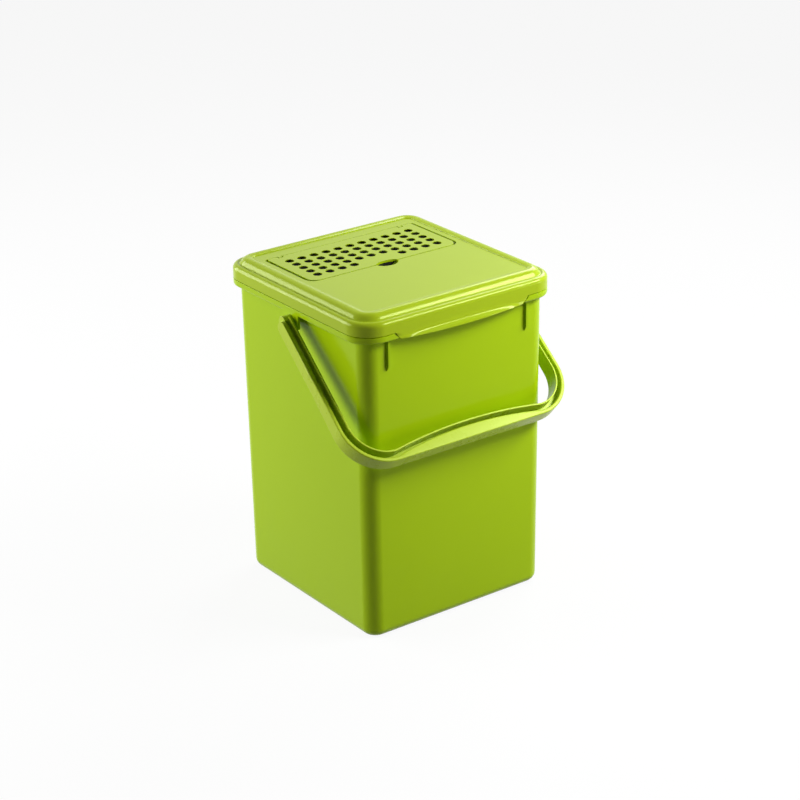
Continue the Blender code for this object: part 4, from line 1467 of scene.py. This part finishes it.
    def end_corner(self, side: int, top: bool) -> Stock:
        """What is cut away at a flange's upper end to leave it round.

        Args:
            side: -1 for the left arm, 1 for the right one.
            top: whether it is the corner on the bail's front or on its back.

        Returns:
            The solid to cut away.
        """
        out = side * (self.half_top + MM)
        land = side * (self.half_top - self.flange)
        radius = (self.flange_top - self.bottom) / 2 - 0.2 * MM
        centre = self.flange_top - radius if top else self.bottom + radius
        far = self.flange_top + MM if top else self.bottom - MM
        corner = Stock.box("corner", (out, land), (-radius, MM), (centre, far))
        through = (out + side * MM, land - side * MM)
        corner.combine(Stock.pin("round_end", radius, through, -radius, centre), Way.CUT)
        return corner

    def add_ends(self, bail: Stock) -> None:
        """Join the round arm ends, the hubs and the pins with their snap heads.

        Args:
            bail: the bent channel.
        """
        for side in SIDES:
            inner = self.half_top - self.width()
            land = side * (self.half_top - self.flange)
            end = Stock.pin("end", self.end_radius, (land, side * inner), 0.0, 0.0)
            end.round_sharp(self.end_round, lambda p: True, 3)
            across = (land, side * (inner + self.rim))
            deep = (-10 * MM, -2 * MM)
            hollow = Stock.box("hollow", across, deep, (self.bottom + self.floor, 10 * MM))
            bail.combine(end, Way.JOIN)
            bail.combine(hollow, Way.CUT)
            root = inner + self.rim / 2
            face = self.tab_face + self.hub_gap
            back = self.tab_face - self.tab_wall - self.head_gap
            head = back - self.head_long
            spans = (
                (self.hub_radius, face, root),
                (self.pin_radius, back, root),
                (self.head_radius, head, back),
            )
            for radius, start, stop in spans:
                bail.combine(Stock.pin("pin", radius, (side * start, side * stop), 0.0, 0.0), Way.JOIN)


def aim(thing: bpy.types.Object, place: Place, target: Place) -> Quaternion:
    """Put a lamp or a camera in its place in the scene.

    Args:
        thing: the object.
        place: where it goes.
        target: what it looks at.

    Returns:
        The turn that points it at its target.
    """
    bpy.context.scene.collection.objects.link(thing)
    thing.location = place
    return (Vector(target) - Vector(place)).to_track_quat("-Z", "Y")


@dataclass(frozen=True)
class Lamp:
    """One soft lamp."""

    name: str
    place: Place
    target: Place
    size: Ring
    power: float

    def light(self) -> None:
        """Hang the lamp and turn it to its target."""
        data = bpy.data.lights.new(self.name, "AREA")
        data.shape = "RECTANGLE"
        data.size, data.size_y = self.size
        data.energy = self.power
        lamp = bpy.data.objects.new(self.name, data)
        lamp.rotation_euler = aim(lamp, self.place, self.target).to_euler()


@dataclass
class Studio:
    """The floor, the lamps, the pale surroundings and the camera."""

    floor_half: float = 6.0
    camera_place: Place = (-1.11260, -1.54045, 0.97919)
    camera_aim: Place = (0.0148, 0.0073, 0.1621)
    camera_roll: float = -1.0005
    lens: float = 105.65
    sensor: float = 36.0
    surround: float = 0.056
    lamps: tuple[Lamp, ...] = (
        Lamp("left_lamp", (-0.95, 0.95, 0.55), (-0.1, 0.0, 0.20), (1.3, 0.9), 25.5),
        Lamp("right_lamp", (0.51, -0.53, 0.77), (0.0, -0.05, 0.22), (0.55, 0.22), 9.4),
        Lamp("low_lamp", (1.10, -1.00, 0.14), (0.0, -0.10, 0.18), (0.5, 0.5), 6.5),
        Lamp("top_lamp", (0.95, 0.45, 1.0), (0.0, 0.0, 0.28), (0.7, 0.7), 9.8),
    )

    def build(self) -> None:
        """Set the stage."""
        self.lay_floor()
        self.light_surroundings()
        for lamp in self.lamps:
            lamp.light()
        self.stand_camera()
        bpy.context.scene.view_settings.view_transform = "Standard"

    def lay_floor(self) -> None:
        """Lay the floor under the caddy."""
        let_go()
        bpy.ops.mesh.primitive_plane_add(size=2 * self.floor_half, location=(0.0, 0.0, 0.0))
        floor = Stock("floor")
        floor.obj.data.materials.append(StudioFloor("studio_floor").make())

    def light_surroundings(self) -> None:
        """Fill the surroundings with soft light, and show them white to the camera."""
        world = bpy.data.worlds.new("surroundings")
        bpy.context.scene.world = world
        graph = Graph(world)
        strength = graph.remap(graph.ray("Camera") + graph.ray("Glossy"), 0.0, 1.0, self.surround, 1.0)
        sky = {"Color": (1.0, 1.0, 1.0, 1.0), "Strength": strength}
        graph.close(graph.node("ShaderNodeBackground", {}, sky), "ShaderNodeOutputWorld")

    def stand_camera(self) -> None:
        """Stand the camera at the photograph's viewing angle."""
        data = bpy.data.cameras.new("camera")
        data.lens = self.lens
        data.sensor_width = self.sensor
        data.clip_end = 50.0
        camera = bpy.data.objects.new("camera", data)
        camera.rotation_mode = "QUATERNION"
        roll = Quaternion((0.0, 0.0, 1.0), math.radians(self.camera_roll))
        camera.rotation_quaternion = aim(camera, self.camera_place, self.camera_aim) @ roll
        bpy.context.scene.camera = camera


def main() -> None:
    """Build the caddy's pieces in order, and the studio round them."""
    bin_lime = MouldedPlastic("bin_plastic", gloss=0.20)
    # The lid and its flap get a darker copy of the same lime: painted shade that holds back the light
    # falling on the lid's top
    lid_lime_painted_shade = MouldedPlastic("lid_plastic_painted_shade", (0.362, 0.490, 0.006), (0.350, 0.476, 0.004))
    # The bail gets a lighter copy of the same lime: painted light that brightens its channel faces and
    # underside
    bail_lime_painted_light = MouldedPlastic(
        "bail_plastic", (0.430, 0.575, 0.020), (0.410, 0.555, 0.016), roughness=0.28, gloss=0.46
    )
    lid_plastic_painted_shade = lid_lime_painted_shade.make()
    flap = Flap()
    Bin().build(bin_lime.make())
    Lid().build(lid_plastic_painted_shade, flap)
    flap.build(lid_plastic_painted_shade, CarbonFelt("carbon_filter").make())
    Bail().build(bail_lime_painted_light.make())
    Studio().build()


if __name__ == "__main__":
    main()
